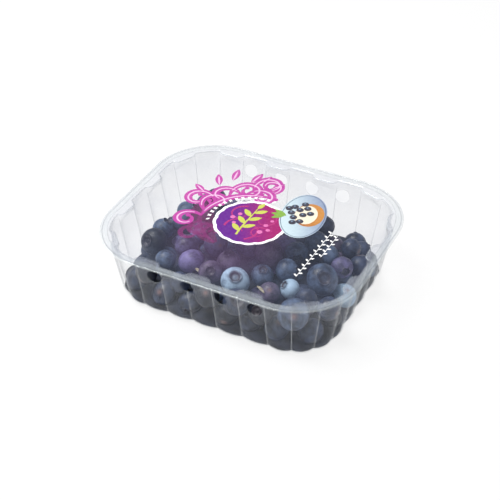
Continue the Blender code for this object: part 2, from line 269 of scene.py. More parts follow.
@dataclass(frozen=True)
class TrayPlastic:
    """Thermoformed clear sheet, milky on its sealed flange, with painted highlight and shade
    lines.

    Stations number the profile's corners, from the lip down to the base panel. Each pair of
    them says between which two a smooth step runs.
    """

    name: str = "clear_tray_plastic"
    veil: Colour = tint(216, 221, 232)
    # Painted shade: the veil turns to this darker colour where the sheet is seen edge-on
    veil_edge_on_shade: Colour = tint(140, 146, 152)
    # The flange's milky colour, also used for the painted highlight along the ledge's inner edge
    weld_and_ledge_highlight: Colour = tint(218, 226, 227)
    # Painted highlight: the pale colour of the lines along the creases
    crease_highlight: Colour = tint(242, 246, 248)
    # Painted shade: the colour of the dark lines at the flange's bends
    fold_shade: Colour = tint(84, 90, 92)
    head_on: float = 0.018
    edge_on: float = 0.60
    roughness: float = 0.12
    flange_end: Pair = (2.0, 2.2)
    flange_haze: float = 0.140
    step_end: Pair = (3.4, 4.1)
    step_haze: float = 0.066
    shoulder_end: Pair = (4.8, 5.8)
    shoulder_haze: float = 0.060
    wall_haze: float = 0.016
    foot_start: Pair = (5.85, 6.3)
    foot_haze: float = 0.01
    # The creases' band and width, and the cover of the painted highlight along them
    crease_start: Pair = (3.4, 4.6)
    crease_end: Pair = (8.0, 8.8)
    crease_width: float = 0.018
    crease_highlight_haze: float = 0.17
    crease_mirror: float = 0.05
    streaks: Place = (0.9, 16.0, 0.0)
    streak_least: float = 0.2
    streak_gain: float = 1.6
    cloud_scale: float = 90.0
    cloud_least: float = 0.6
    cloud_gain: float = 0.8
    # Painted shade lines at the flange's outer and inner bends: stations, share of the inner one,
    # width and cover
    outer_fold: float = 1.24
    inner_fold: float = 2.02
    inner_fold_share: float = 0.6
    fold_width: float = 0.07
    fold_shade_haze: float = 0.25
    # Painted highlight line along the ledge's inner edge: its station, width and cover
    ledge_edge: float = 3.0
    ledge_edge_width: float = 0.12
    ledge_highlight_haze: float = 0.36
    ripple_scale: float = 160.0

    def material(self) -> bpy.types.Material:
        """Make the finish.

        The wall map gives flutes across and profile stations down. The veil is strong on the
        flange and weaker down the wall. A pale painted highlight runs along each crease between
        two flutes, and a bright one along the inner edge of the ledge. Two fine dark lines of
        painted shade run round the flange at its outer and inner bends, and the veil darkens to
        a painted shade where the sheet is seen edge-on.

        Returns:
            The material.
        """
        graph = Graph(self.name)
        wall_map = graph.add("ShaderNodeUVMap", {"uv_map": "wall"})
        across = graph.add("ShaderNodeSeparateXYZ", {}, {0: wall_map}, output="X")
        down = graph.add("ShaderNodeSeparateXYZ", {}, {0: wall_map}, output="Y")
        flange = 1.0 - down.rise(*self.flange_end)
        step = 1.0 - down.rise(*self.step_end)
        shoulder = 1.0 - down.rise(*self.shoulder_end)
        foot = down.rise(*self.foot_start)
        band = down.rise(*self.crease_start) * (1.0 - down.rise(*self.crease_end))
        # Mask of the painted highlight lines along the creases
        crease = (1.0 - across.to_nearest_whole().rise(0.0, self.crease_width)) * band
        cloud = graph.noise(self.cloud_scale, detail=3.0) * self.cloud_gain + self.cloud_least
        along = graph.vector("MULTIPLY", wall_map, self.streaks)
        streak = graph.add("ShaderNodeTexNoise", {}, {"Vector": along, "Scale": 1.0})
        # Mask of the painted shade lines at the flange's bends
        fold_shade = (down.near(self.outer_fold, self.fold_width)
                + down.near(self.inner_fold, self.fold_width) * self.inner_fold_share)
        # Mask of the painted highlight line along the ledge's inner edge
        ledge = down.near(self.ledge_edge, self.ledge_edge_width)
        flange_veil = flange * (streak * self.streak_gain + self.streak_least)
        veil = (flange_veil * (self.flange_haze - self.step_haze)
                + step * (self.step_haze - self.shoulder_haze)
                + shoulder * self.shoulder_haze + foot * self.foot_haze + self.wall_haze)
        # The cover also carries the painted crease highlight, the painted bend shade and the
        # painted ledge highlight
        haze = (veil * cloud + crease * self.crease_highlight_haze + fold_shade * self.fold_shade_haze
                + ledge * self.ledge_highlight_haze)
        # Painted shade: the veil darkens where the sheet is seen edge-on
        plain = graph.blend(graph.edge_on() ** 2.0, self.veil, self.veil_edge_on_shade)
        # The flange's milky colour, also laid on the ledge's painted highlight
        welded = graph.blend(flange + ledge, plain, self.weld_and_ledge_highlight)
        # Lay the painted highlight's pale colour along the creases
        milky = graph.blend(crease, welded, self.crease_highlight)
        # Lay the painted shade's dark colour on the flange's bends
        colour = graph.blend(fold_shade, milky, self.fold_shade)
        mirror = graph.mirror_share(self.head_on, self.edge_on) + crease * self.crease_mirror
        normal = graph.bump(graph.noise(self.ripple_scale), distance=0.0006, strength=0.6)
        return clear_sheet(graph, haze, colour, mirror, self.roughness, normal)


@dataclass(frozen=True)
class FilmPlastic:
    """Taut clear film, with a faint bloom of moisture, plum coloured near the badge."""

    name: str = "clear_film_plastic"
    veil: Colour = tint(150, 160, 188)
    plum_veil: Colour = tint(168, 146, 192)
    plum_middle: Place = (-0.004, -0.024, 0.0413)
    plum_reach: Pair = (0.018, 0.044)
    head_on: float = 0.02
    edge_on: float = 1.0
    roughness: float = 0.10
    haze: float = 0.038
    plum_haze: float = 0.024
    mist: float = 0.040
    mist_scale: float = 28.0
    mist_start: Pair = (0.45, 0.75)
    ripple_scale: float = 40.0

    def material(self) -> bpy.types.Material:
        """Make the finish: a thin veil, a little thicker in soft clouds and by the badge."""
        graph = Graph(self.name)
        away = graph.vector("DISTANCE", graph.place(), self.plum_middle, "Value")
        plum = 1.0 - away.rise(*self.plum_reach)
        mist = graph.noise(self.mist_scale, detail=4.0).rise(*self.mist_start)
        haze = mist * self.mist + self.haze + plum * self.plum_haze
        veil = graph.blend(plum, self.veil, self.plum_veil)
        normal = graph.bump(graph.noise(self.ripple_scale, detail=1.0), distance=0.0006,
                            strength=0.5)
        mirror = graph.mirror_share(self.head_on, self.edge_on)
        return clear_sheet(graph, haze, veil, mirror, self.roughness, normal)


@dataclass(frozen=True)
class Ink:
    """A film print: a thin coat of colour, with the faint dots that printing leaves."""

    name: str
    colour: Colour
    cover: float = 0.95
    far_colour: Colour | None = None
    far_start: Pair = (0.0, 1.0)
    roughness: float = 0.32
    specular: float = 0.15
    grain: float = 0.10
    grain_scale: float = 900.0
    worn: Colour = tint(255, 245, 250)

    def material(self) -> bpy.types.Material:
        """Make the finish.

        Where there is a far colour, it takes over between two distances along the viewer's
        right, which is a fixed direction on the film.

        Returns:
            The material.
        """
        graph = Graph(self.name)
        colour = self.colour
        if self.far_colour is not None:
            along = graph.vector("DOT_PRODUCT", graph.place(), VIEW_RIGHT, "Value")
            colour = graph.blend(along.rise(*self.far_start), colour, self.far_colour)
        grain = graph.noise(self.grain_scale, detail=1.0) * self.grain
        return graph.dress(Base_Color=graph.blend(grain, colour, self.worn),
                           Roughness=self.roughness, Specular_IOR_Level=self.specular,
                           Alpha=grain + (self.cover - self.grain / 2))


@dataclass(frozen=True)
class BerrySkin:
    """Dark skin under a waxy bloom that is rubbed off in places, and the brown of the crown."""

    name: str = "berry_skin_bloom"
    crown: Colour = tint(20, 18, 26)
    crown_edge: Colour = tint(62, 56, 68)
    scar: Colour = tint(124, 96, 92)
    blotch_scale: float = 190.0
    blotch_gain: float = 1.9
    blotch_relief: float = 0.5
    speck_scale: float = 1500.0
    speck_gain: float = 0.45
    bare_roughness: float = 0.34
    bloom_roughness: float = 0.62
    specular: float = 0.4

    def material(self) -> bpy.types.Material:
        """Make the finish.

        The bloom's cover at a point is the berry's own share, moved up and down by blotches
        a few millimetres wide and by fine specks.

        Returns:
            The material.
        """
        graph = Graph(self.name)
        blotch = graph.noise(self.blotch_scale, detail=4.0, roughness=0.6)
        speck = graph.noise(self.speck_scale)
        wanted = (graph.value_of("cover") + (blotch - 0.5) * self.blotch_gain
                  + (speck - 0.5) * self.speck_gain)
        cover = wanted.rise(0.0, 1.0)
        skin = graph.blend(cover, graph.colour_of("skin"), graph.colour_of("bloom"))
        inside = graph.blend(speck, self.crown, self.crown_edge)
        crowned = graph.blend(graph.value_of("crown"), skin, inside)
        colour = graph.blend(graph.value_of("scar"), crowned, self.scar)
        roughness = cover * (self.bloom_roughness - self.bare_roughness) + self.bare_roughness
        normal = graph.bump(blotch * self.blotch_relief + speck, distance=0.00012, strength=0.7)
        return graph.dress(Base_Color=colour, Roughness=roughness, Normal=normal,
                           Specular_IOR_Level=self.specular)


@dataclass(frozen=True)
class PlainFinish:
    """Two close colours, clouded by noise."""

    name: str
    colour: Colour
    other: Colour
    scale: float
    roughness: float
    cloud_start: Pair = (0.3, 0.7)

    def material(self) -> bpy.types.Material:
        """Make the finish: one colour passes into the other in soft clouds."""
        graph = Graph(self.name)
        cloud = graph.noise(self.scale, detail=3.0).rise(*self.cloud_start)
        return graph.dress(Base_Color=graph.blend(cloud, self.colour, self.other),
                           Roughness=self.roughness,
                           Normal=graph.bump(cloud, distance=0.0001, strength=0.5))


def ring_faces(rings: int, count: int) -> np.ndarray:
    """Join rings of points, each closed on itself.

    The face between ring i and the next, from place j, has the corners (i, j), (i + 1, j),
    (i + 1, j + 1) and (i, j + 1), with j + 1 going round.

    Args:
        rings: how many rings there are.
        count: points in each.

    Returns:
        Four corners a row.
    """
    ring, place = np.meshgrid(np.arange(rings - 1), np.arange(count), indexing="ij")
    here = (ring * count + place).ravel()
    beside = (ring * count + (place + 1) % count).ravel()
    return np.column_stack([here, here + count, beside + count, beside])


def cap_faces(first: int, count: int, middle: int, turned: bool) -> np.ndarray:
    """Close a ring with triangles to a middle point.

    Args:
        first: the ring's first point.
        count: points in it.
        middle: the middle point.
        turned: whether the triangles run the other way round.

    Returns:
        Three corners a row.
    """
    place = np.arange(count)
    here = first + place
    beside = first + (place + 1) % count
    centre = np.full(count, middle)
    return np.column_stack([centre, beside, here] if turned else [centre, here, beside])


def closed_faces(rings: int, count: int, turned: bool) -> tuple[np.ndarray, np.ndarray]:
    """Join rings of points and close both ends to middle points, which follow the rings'.

    Args:
        rings: how many rings there are.
        count: points in each.
        turned: whether the faces run the other way round.

    Returns:
        Four corners a row for the sides, and three for the ends.
    """
    total = rings * count
    sides = ring_faces(rings, count)
    ends = [cap_faces(0, count, total, turned),
            cap_faces(total - count, count, total + 1, not turned)]
    return sides[:, ::-1] if turned else sides, np.concatenate(ends)


def make_piece(name: str, points: np.ndarray, faces: list[np.ndarray],
               material: bpy.types.Material, slot: str | None) -> bpy.types.Object:
    """Make an object of the punnet and let it ride on the body.

    Args:
        name: the piece's name.
        points: one row for each point, in the punnet's frame.
        faces: arrays of corners, each with faces of one kind.
        material: its finish.
        slot: None for a stage piece, which is left off the body; any other value lets it ride
            there.

    Returns:
        The object, at the origin, unturned and unscaled.
    """
    mesh = bpy.data.meshes.new(name)
    listed = [face for group in faces for face in group.tolist()]
    mesh.from_pydata(points.tolist(), [], listed)
    mesh.update()
    mesh.shade_smooth()
    mesh.materials.append(material)
    piece = bpy.data.objects.new(name, mesh)
    bpy.context.scene.collection.objects.link(piece)
    if slot is None:
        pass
    else:
        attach(piece, BODY)
        log.info("%s: %d points, %d faces", name, len(points), len(listed))
    return piece


def give_points(piece: bpy.types.Object, name: str, values: np.ndarray) -> None:
    """Let a mesh carry a number, or a colour, at each point.

    Args:
        piece: the object.
        name: the attribute's name.
        values: one number or one row of four for each point.
    """
    coloured = values.ndim == 2
    kind = 'FLOAT_COLOR' if coloured else 'FLOAT'
    attribute = piece.data.attributes.new(name, kind, 'POINT')
    attribute.data.foreach_set("color" if coloured else "value",
                               np.ascontiguousarray(values, dtype=np.float32).ravel())


@dataclass(frozen=True)
class Rim:
    """The rim's outer edge: a rounded rectangle with large corners."""

    length: float = 0.160
    width: float = 0.134
    corner: float = 0.0394
    height: float = 0.0410
    wall_inset: float = 0.0068

    @property
    def halves(self) -> np.ndarray:
        """How far the corners' centres lie along X and Y."""
        return np.array([self.length / 2 - self.corner, self.width / 2 - self.corner])

    def path_length(self) -> float:
        """Length once round, measured where the wall starts."""
        return float(4 * self.halves.sum() + 2 * math.pi * (self.corner - self.wall_inset))

    def path(self, distances: np.ndarray) -> tuple[np.ndarray, np.ndarray]:
        """Follow the outline round from the middle of the front.

        Straight runs keep their direction, and each corner turns it by a right angle, evenly
        with the distance. A point of the outline is its centre plus the corner radius times
        its direction.

        Args:
            distances: how far along the path each point lies.

        Returns:
            The centres that the outline turns about, and the outward directions.
        """
        side, end = self.halves
        turn = math.pi / 2 * (self.corner - self.wall_inset)
        runs = np.array([side, turn, 2 * end, turn, 2 * side, turn, 2 * end, turn, side])
        stops = np.concatenate(([0.0], np.cumsum(runs)))
        along = np.mod(distances, stops[-1])
        across = np.interp(along, stops, np.array([0, 1, 1, 1, 1, -1, -1, -1, -1, 0]) * side)
        deep = np.interp(along, stops, np.array([-1, -1, -1, 1, 1, 1, 1, -1, -1, -1]) * end)
        angle = np.interp(along, stops, np.radians([-90, -90, 0, 0, 90, 90, 180, 180, 270, 270]))
        centres = np.stack([across, deep], axis=1)
        return centres, np.stack([np.cos(angle), np.sin(angle)], axis=1)

    def outward(self, centres: np.ndarray) -> tuple[np.ndarray, np.ndarray]:
        """How far points lie inside the outline, and their way out of it.

        Beyond the corners' centres the way out is straight from the nearer centre, and
        between them it is square to the nearer side.

        Args:
            centres: one row for each point, X and Y first.

        Returns:
            Depths inside the outline, and outward directions.
        """
        beyond = np.abs(centres[:, :2]) - self.halves
        outside = np.maximum(beyond, 0.0)
        reach = np.linalg.norm(outside, axis=1)
        depth = self.corner - reach - np.minimum(beyond.max(axis=1), 0.0)
        nearest = np.where(beyond == beyond.max(axis=1)[:, None], 1.0, 0.0)
        turned = outside / np.maximum(reach, HARDLY_ANY)[:, None]
        way = np.where(reach[:, None] > 0.0, turned, nearest)
        return depth, way * np.sign(centres[:, :2])


@dataclass(frozen=True)
class Vents:
    """Round holes under the flange, in facing pairs through both long walls."""

    radius: float = 0.0043
    spacing: float = 0.0208
    height: float = 0.0308
    count: int = 4
    sides: int = 48
    reach: float = 0.09


@dataclass(frozen=True)
class Tray:
    """Fluted shell with its lip, flange, stacking lugs, vents and raised base panel."""

    rim: Rim
    vents: Vents = Vents()
    wall: float = 0.0005
    flange_width: float = 0.0046
    lip_drop: float = 0.0004
    edge: float = 0.0003
    step_drop: float = 0.0007
    lug_drop: float = 0.0042
    wall_top_drop: float = 0.0070
    foot_inset: float = 0.0124
    foot_height: float = 0.0036
    ring_outer: float = 0.0154
    ring_inner: float = 0.0206
    panel_inset: float = 0.0220
    panel_rise: float = 0.0012
    panel_inner: float = 0.0340
    knuckle_rise: float = 0.0008
    flutes: int = 30
    flute_depth: float = 0.0015
    first_crease: float = 0.0047
    lug_depth: float = 0.0038
    lug_foot_share: float = 0.6
    knuckle_share: float = 0.9
    ring_share: float = 0.4
    rounding: float = 0.0005
    longest_face: float = 0.0026
    lug_sharpness: int = 6
    half_flute: tuple[float, ...] = (0.0, 0.012, 0.03, 0.07, 0.14, 0.24, 0.36)
    corner_share: float = 0.4
    corner_steps: tuple[float, ...] = (0.0, 0.35, 0.65, 1.0)
    sharp_angle: float = 55.0

    def corners(self) -> np.ndarray:
        """Corners of the outer face from the lip to the panel's middle.

        Returns:
            Rows of inset, height, share of flute depth, share of lug depth and station.
        """
        flange = self.rim.height - self.wall
        step_inset = (self.flange_width + self.rim.wall_inset) / 2
        knuckle_inset = (self.foot_inset + self.ring_outer) / 2
        rows = np.array([
            (self.wall, flange - self.lip_drop, 0.0, 0.0),
            (self.wall + self.edge, flange, 0.0, 0.0),
            (self.flange_width, flange, 0.0, 0.0),
            (step_inset, flange - self.step_drop, 0.0, 1.0),
            (self.rim.wall_inset, flange - self.lug_drop, 1.0, self.lug_foot_share),
            (self.rim.wall_inset + self.edge, flange - self.wall_top_drop, 1.0, 0.0),
            (self.foot_inset, self.foot_height, 1.0, 0.0),
            (knuckle_inset, self.knuckle_rise, self.knuckle_share, 0.0),
            (self.ring_outer, 0.0, self.ring_share, 0.0),
            (self.ring_inner, 0.0, 0.0, 0.0),
            (self.panel_inset, self.panel_rise, 0.0, 0.0),
            (self.panel_inner, self.panel_rise, 0.0, 0.0),
        ])
        return np.column_stack([rows, np.arange(len(rows))])

    def profile(self) -> np.ndarray:
        """Round the profile's corners and split its long runs.

        A corner becomes a parabola, (1-t)^2 A + 2t(1-t) P + t^2 B, between points A and B
        on its two runs, and a run longer than the longest face is split evenly.

        Returns:
            Rows as those of corners.
        """
        rows = self.corners()
        spans = np.linalg.norm(np.diff(rows[:, :2], axis=0), axis=1)
        kept = [rows[:1]]
        t = np.array(self.corner_steps)[:, None]
        for index in range(1, len(rows) - 1):
            before, here, after = rows[index - 1:index + 2]
            near, far = [min(self.rounding, self.corner_share * span) / span
                         for span in spans[index - 1:index + 1]]
            start = here + (before - here) * near
            end = here + (after - here) * far
            kept.append((1 - t) ** 2 * start + 2 * t * (1 - t) * here + t ** 2 * end)
        kept.append(rows[-1:])
        joined = np.concatenate(kept)
        steps = np.linalg.norm(np.diff(joined[:, :2], axis=0), axis=1)
        parts = np.maximum(np.ceil(steps / self.longest_face), 1).astype(int)
        places = np.concatenate([
            np.arange(count) / count + index for index, count in enumerate(parts)])
        places = np.append(places, len(joined) - 1)
        station = np.arange(len(joined))
        return np.column_stack([np.interp(places, station, column) for column in joined.T])

    def round_places(self) -> np.ndarray:
        """Flute numbers round the wall, closest together beside the creases."""
        half = np.array(self.half_flute)
        one = np.concatenate([half, [0.5], 1.0 - half[:0:-1]])
        return (np.arange(self.flutes)[:, None] + one).ravel()

    def surface(self) -> tuple[np.ndarray, np.ndarray, np.ndarray]:
        """Carry the profile round the rim.

        Each point lies at its centre plus its direction times the corner radius less the
        inset, plus the flute's bulge, 1 - (2u - 1)^2, less the lug's, 1 - (2u - 1)^6, which
        every second flute has.

        Returns:
            Points, flute numbers and stations, one for each point.
        """
        places = self.round_places()
        spacing = self.rim.path_length() / self.flutes
        centres, ways = self.rim.path(self.first_crease + places * spacing)
        across = 2 * np.mod(places, 1.0) - 1
        bulge = 1 - across ** 2
        lug = (1 - across ** self.lug_sharpness) * (np.floor(places) % 2)
        rows = self.profile()
        out = self.flute_depth * rows[:, 2:3] * bulge - self.lug_depth * rows[:, 3:4] * lug
        reach = self.rim.corner - rows[:, :1] + out
        flat = centres[None] + ways[None] * reach[:, :, None]
        points = raised(flat, np.broadcast_to(rows[:, 1:2], reach.shape)).reshape(-1, 3)
        flute = np.broadcast_to(places, reach.shape).ravel()
        station = np.broadcast_to(rows[:, 4:5], reach.shape).ravel()
        return points, flute, station

    def map_wall(self, piece: bpy.types.Object, flute: np.ndarray, station: np.ndarray) -> None:
        """Give the shell its map: flutes across and stations down, with the last flute closed.

        Args:
            piece: the open shell.
            flute: flute number at each point.
            station: station at each point.
        """
        mesh = piece.data
        corner = np.empty(len(mesh.loops), dtype=np.int32)
        mesh.loops.foreach_get("vertex_index", corner)
        sizes = np.empty(len(mesh.polygons), dtype=np.int32)
        mesh.polygons.foreach_get("loop_total", sizes)
        face = np.repeat(np.arange(len(sizes)), sizes)
        highest = np.zeros(len(sizes))
        np.maximum.at(highest, face, flute[corner])
        closing = (highest[face] > self.flutes - 1) & (flute[corner] < 1) & (sizes[face] == 4)
        across = flute[corner] + np.where(closing, self.flutes, 0.0)
        layer = mesh.uv_layers.new(name="wall")
        pairs = np.column_stack([across, station[corner]]).astype(np.float32)
        layer.data.foreach_set("uv", pairs.ravel())

    def vent_rods(self) -> list[bpy.types.Object]:
        """Rods across the tray, one for each pair of facing vents.

        Returns:
            Closed cylinders along Y: the circle at each end carried from end to end.
        """
        rods = []
        turn = full_turn(self.vents.sides)
        for index in range(self.vents.count):
            middle = (index - (self.vents.count - 1) / 2) * self.vents.spacing
            x = middle + self.vents.radius * np.cos(turn)
            z = self.vents.height + self.vents.radius * np.sin(turn)
            ends = [np.column_stack([x, np.full_like(x, y), z])
                    for y in (-self.vents.reach, self.vents.reach)]
            mesh = bpy.data.meshes.new("vent_rod")
            count = self.vents.sides
            caps = [list(range(count)), list(range(2 * count - 1, count - 1, -1))]
            mesh.from_pydata(np.concatenate(ends).tolist(), [],
                             ring_faces(2, count).tolist() + caps)
            mesh.update()
            rod = bpy.data.objects.new("vent_rod", mesh)
            bpy.context.scene.collection.objects.link(rod)
            rods.append(rod)
        return rods

    def build(self) -> bpy.types.Object:
        """Make the tray: an open outer face, its wall inwards, and the vents cut through."""
        points, flute, station = self.surface()
        count = len(self.round_places())
        rings = len(points) // count
        last = (rings - 1) * count + np.arange(count)
        faces = [ring_faces(rings, count), last[::-1][None]]
        tray = make_piece("fluted_tray", points, faces, TrayPlastic().material(), "clear_tray")
        self.map_wall(tray, flute, station)
        shell = tray.modifiers.new("Wall", 'SOLIDIFY')
        shell.thickness = self.wall
        shell.offset = -1.0
        shell.use_even_offset = True
        rods = self.vent_rods()
        for rod in rods:
            cut = tray.modifiers.new("Vent", 'BOOLEAN')
            cut.operation = 'DIFFERENCE'
            cut.solver = 'EXACT'
            cut.object = rod
        finished = bpy.data.meshes.new_from_object(
            tray.evaluated_get(bpy.context.evaluated_depsgraph_get()))
        tray.modifiers.clear()
        tray.data = finished
        finished.name = "fluted_tray"
        for rod in rods:
            bpy.data.objects.remove(rod, do_unlink=True)
        finished.set_sharp_from_angle(angle=math.radians(self.sharp_angle))
        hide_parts("tray")
        log.info("fluted_tray: %d faces with its wall and vents", len(finished.polygons))
        return tray


@dataclass(frozen=True)
class Film:
    """Sheet of film welded over the flange, very slightly rippled."""

    rim: Rim
    inset: float = 0.0006
    lowest: float = 0.0413
    thickness: float = 0.00008
    ripple: float = 0.00005
    square_pace: Pair = (95.0, 120.0)
    square_phase: Pair = (0.7, 1.9)
    slant_pace: Pair = (60.0, 85.0)
    around: int = 160
    rings: int = 26
    innermost: float = 0.02
    sharp_angle: float = 40.0

    def top(self, x: np.ndarray, y: np.ndarray) -> np.ndarray:
        """Height of the film's upper face.

        It is level, plus long low waves across the sheet: a product of two sines and a
        third along the diagonal, each under the ripple's height.

        Args:
            x: places along the long side.
            y: places along the short side.

        Returns:
            Heights.
        """
        along = np.sin(x * self.square_pace[0] + self.square_phase[0])
        deep = np.sin(y * self.square_pace[1] + self.square_phase[1])
        waves = along * deep + np.sin(x * self.slant_pace[0] - y * self.slant_pace[1])
        return self.lowest + self.thickness + self.ripple * (1 + waves / 2)

    def build(self) -> bpy.types.Object:
        """Make the film as a closed thin sheet of rings round its middle.

        Each ring shrinks the outline about the origin by an even step, upper rings from the
        inside out and lower rings from the outside in.

        Returns:
            The piece.
        """
        distances = np.arange(self.around) / self.around * self.rim.path_length()
        centres, ways = self.rim.path(distances)
        shares = np.linspace(1.0, self.innermost, self.rings)[:, None, None]
        flat = (centres + ways * (self.rim.corner - self.inset))[None] * shares
        upper = self.top(flat[..., 0], flat[..., 1])
        rings = np.concatenate([raised(flat, upper)[::-1], raised(flat, upper - self.thickness)])
        middle = np.array([[0.0, 0.0, float(self.top(np.zeros(1), np.zeros(1))[0])]])
        under = middle - (0.0, 0.0, self.thickness)
        film = make_piece("sealing_film", np.concatenate([rings.reshape(-1, 3), middle, under]),
                          [*closed_faces(2 * self.rings, self.around, False)],
                          FilmPlastic().material(), "clear_film")
        film.data.set_sharp_from_angle(angle=math.radians(self.sharp_angle))
        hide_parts("film")
        return film


class Skin(Enum):
    """Looks of single berries: skin, bloom and how much of the skin the bloom covers."""

    # Painted shade: a darker skin for placed berries that lie in shadow
    SHADOWED = (tint(10, 13, 22), tint(40, 46, 62), 0.36)
    SLATE = (tint(20, 27, 44), tint(90, 108, 138), 0.52)
    NAVY = (tint(14, 18, 32), tint(62, 74, 102), 0.44)
    PURPLE = (tint(38, 34, 56), tint(112, 106, 148), 0.52)
    LAVENDER = (tint(46, 42, 70), tint(126, 118, 170), 0.70)
    LIGHT = (tint(40, 58, 84), tint(164, 190, 214), 0.84)
    BROWN = (tint(38, 32, 46), tint(112, 99, 128), 0.52)


@dataclass(frozen=True)
class Pose:
    """How a berry that shows is turned and what it looks like.

    The crown points right, up and towards the viewer by these shares; a stem scar faces the
    viewer where towards is negative.
    """

    skin: Skin
    right: float = 0.0
    up: float = 0.0
    towards: float = 0.0


@dataclass(frozen=True)
class BerryShape:
    """Outline of one berry of radius 1, from its stem end to the middle of its crown."""

    around: int = 40
    body_rings: int = 13
    squash: Pair = (0.84, 0.95)
    crown: Pair = (0.32, 0.48)
    sepals: int = 5
    sepal_low: float = 0.15
    sepal_pull: float = 0.8
    sepal_height: Pair = (0.05, 0.13)
    flare: Pair = (0.0, 0.12)
    depth: Pair = (0.07, 0.15)
    knob_depth: float = 0.75
    lumpiness: float = 0.025
    stem_dimple: float = 0.05
    dimple_width: float = 0.22

    # The crown's rings from the outside in: shares of its radius and of its flare, a step
    # added to both, shares of the sepals' height and of the crater's depth, and how far the
    # gaps between the sepals cut into the ring
    CROWN_RINGS = (
        (1.00, 0.5, 0.00, 0.5, 0.00, 0.5), (1.00, 1.0, 0.00, 1.0, 0.00, 1.0),
        (1.00, 1.0, -0.05, 0.9, 0.00, 1.0), (0.84, 0.0, 0.00, 0.1, 0.00, 0.3),
        (0.72, 0.0, 0.00, 0.0, 1.00, 0.0), (0.45, 0.0, 0.00, 0.0, 1.12, 0.0),
        (0.18, 0.0, 0.00, 0.0, 1.05, 0.0), (0.10, 0.0, 0.00, 0.0, 0.80, 0.0),
    )

    # How dark the crown's brown is on the last body ring and the crown's rings, and on the
    # notches between the sepals, which start one ring further out
    CROWN_STAIN = (0.15, 0.30, 0.15, 0.50, 1.0, 1.0, 0.75, 0.45, 0.35)
    NOTCH_STAIN = (0.15, 0.60, 0.70, 0.80, 0.50)
    KNOB_STAIN = 0.3
    SCAR_EDGE = 0.25

    @property
    def rings(self) -> int:
        """Rings in all, body and crown."""
        return self.body_rings + len(self.CROWN_RINGS)

    def sepal_wave(self) -> np.ndarray:
        """Where the sepals stand round the axis: |cos(5a/2)|, 1 on a sepal and 0 in a gap."""
        return np.abs(np.cos(self.sepals * full_turn(self.around) / 2))

    def points(self, rng: np.random.Generator, count: int) -> np.ndarray:
        """Points of many berries of radius 1, standing on their stems.

        The body is a squashed ball: radius sin(t) and height -cos(t) times the squash, with
        a dimple at the stem. At the crown it turns up into a collar of five sepals, whose
        height follows |cos(5a/2)| round the axis, and falls into a shallow crater with a
        low knob.

        Args:
            rng: source of the differences between berries.
            count: how many berries.

        Returns:
            Array of berries by rings and two poles by three.
        """
        draw = rng.uniform(0.0, 1.0, (8, count, 1))
        limits = (self.squash, self.crown, self.sepal_height, self.flare, self.depth)
        squash, crown, rise, flare, depth = [spread(*pair) for pair in zip(limits, draw)]
        share = np.arange(1, self.body_rings + 1) / self.body_rings
        polar = share * (math.pi - np.arcsin(crown))
        dimple = self.stem_dimple * np.exp(-(polar / self.dimple_width) ** 2)
        top = np.sqrt(1 - crown ** 2) * squash
        wide, flared, moved, high, low, parted = np.array(self.CROWN_RINGS).T
        radius = np.concatenate([np.sin(polar), crown * wide + flare * flared + moved], axis=1)
        height = np.concatenate([dimple - np.cos(polar) * squash,
                                 top + rise * high - depth * low], axis=1)
        lobe = self.sepal_low + (1 - self.sepal_low) * self.sepal_wave()
        gap = np.concatenate([np.zeros(self.body_rings), parted])[:, None] * (1 - lobe)
        turn = full_turn(self.around)
        phase = 2 * math.pi * draw[5:7]
        lumps = np.cos(turn + phase[0]) + np.cos(2 * turn + phase[1])
        reach = (radius[:, :, None] * (1 + self.lumpiness * lumps[:, None, :])
                 - gap * flare[:, :, None] * self.sepal_pull)
        z = height[:, :, None] - (height - top)[:, :, None] * gap
        rings = np.stack([reach * np.cos(turn), reach * np.sin(turn), z], axis=3)
        poles = np.zeros((count, 2, 3))
        poles[:, 0, 2] = (self.stem_dimple - squash)[:, 0]
        poles[:, 1, 2] = (top - depth * self.knob_depth)[:, 0]
        return np.concatenate([rings.reshape(count, -1, 3), poles], axis=1)

    def faces(self) -> tuple[np.ndarray, np.ndarray]:
        """Quads between the rings, and triangles to both poles."""
        return closed_faces(self.rings, self.around, True)

    def crown_share(self) -> np.ndarray:
        """How much each point of a berry belongs to its crown, from 0 to 1.

        The crater is dark, paler in its middle, and dark notches run out between the sepals.

        Returns:
            One number for each point.
        """
        ring = np.zeros(self.rings)
        notch = np.zeros(self.rings)
        ring[self.body_rings - 1:] = self.CROWN_STAIN
        notch[self.body_rings - 2:self.body_rings + 3] = self.NOTCH_STAIN
        share = np.minimum(ring[:, None] + notch[:, None] * (1.0 - self.sepal_wave()), 1.0)
        return np.concatenate([share.ravel(), [0.0, self.KNOB_STAIN]])

    def scar_share(self) -> np.ndarray:
        """How much each point of a berry belongs to its stem scar, from 0 to 1."""
        ring = np.zeros(self.rings)
        ring[0] = self.SCAR_EDGE
        return np.concatenate([np.repeat(ring, self.around), [1.0, 0.0]])


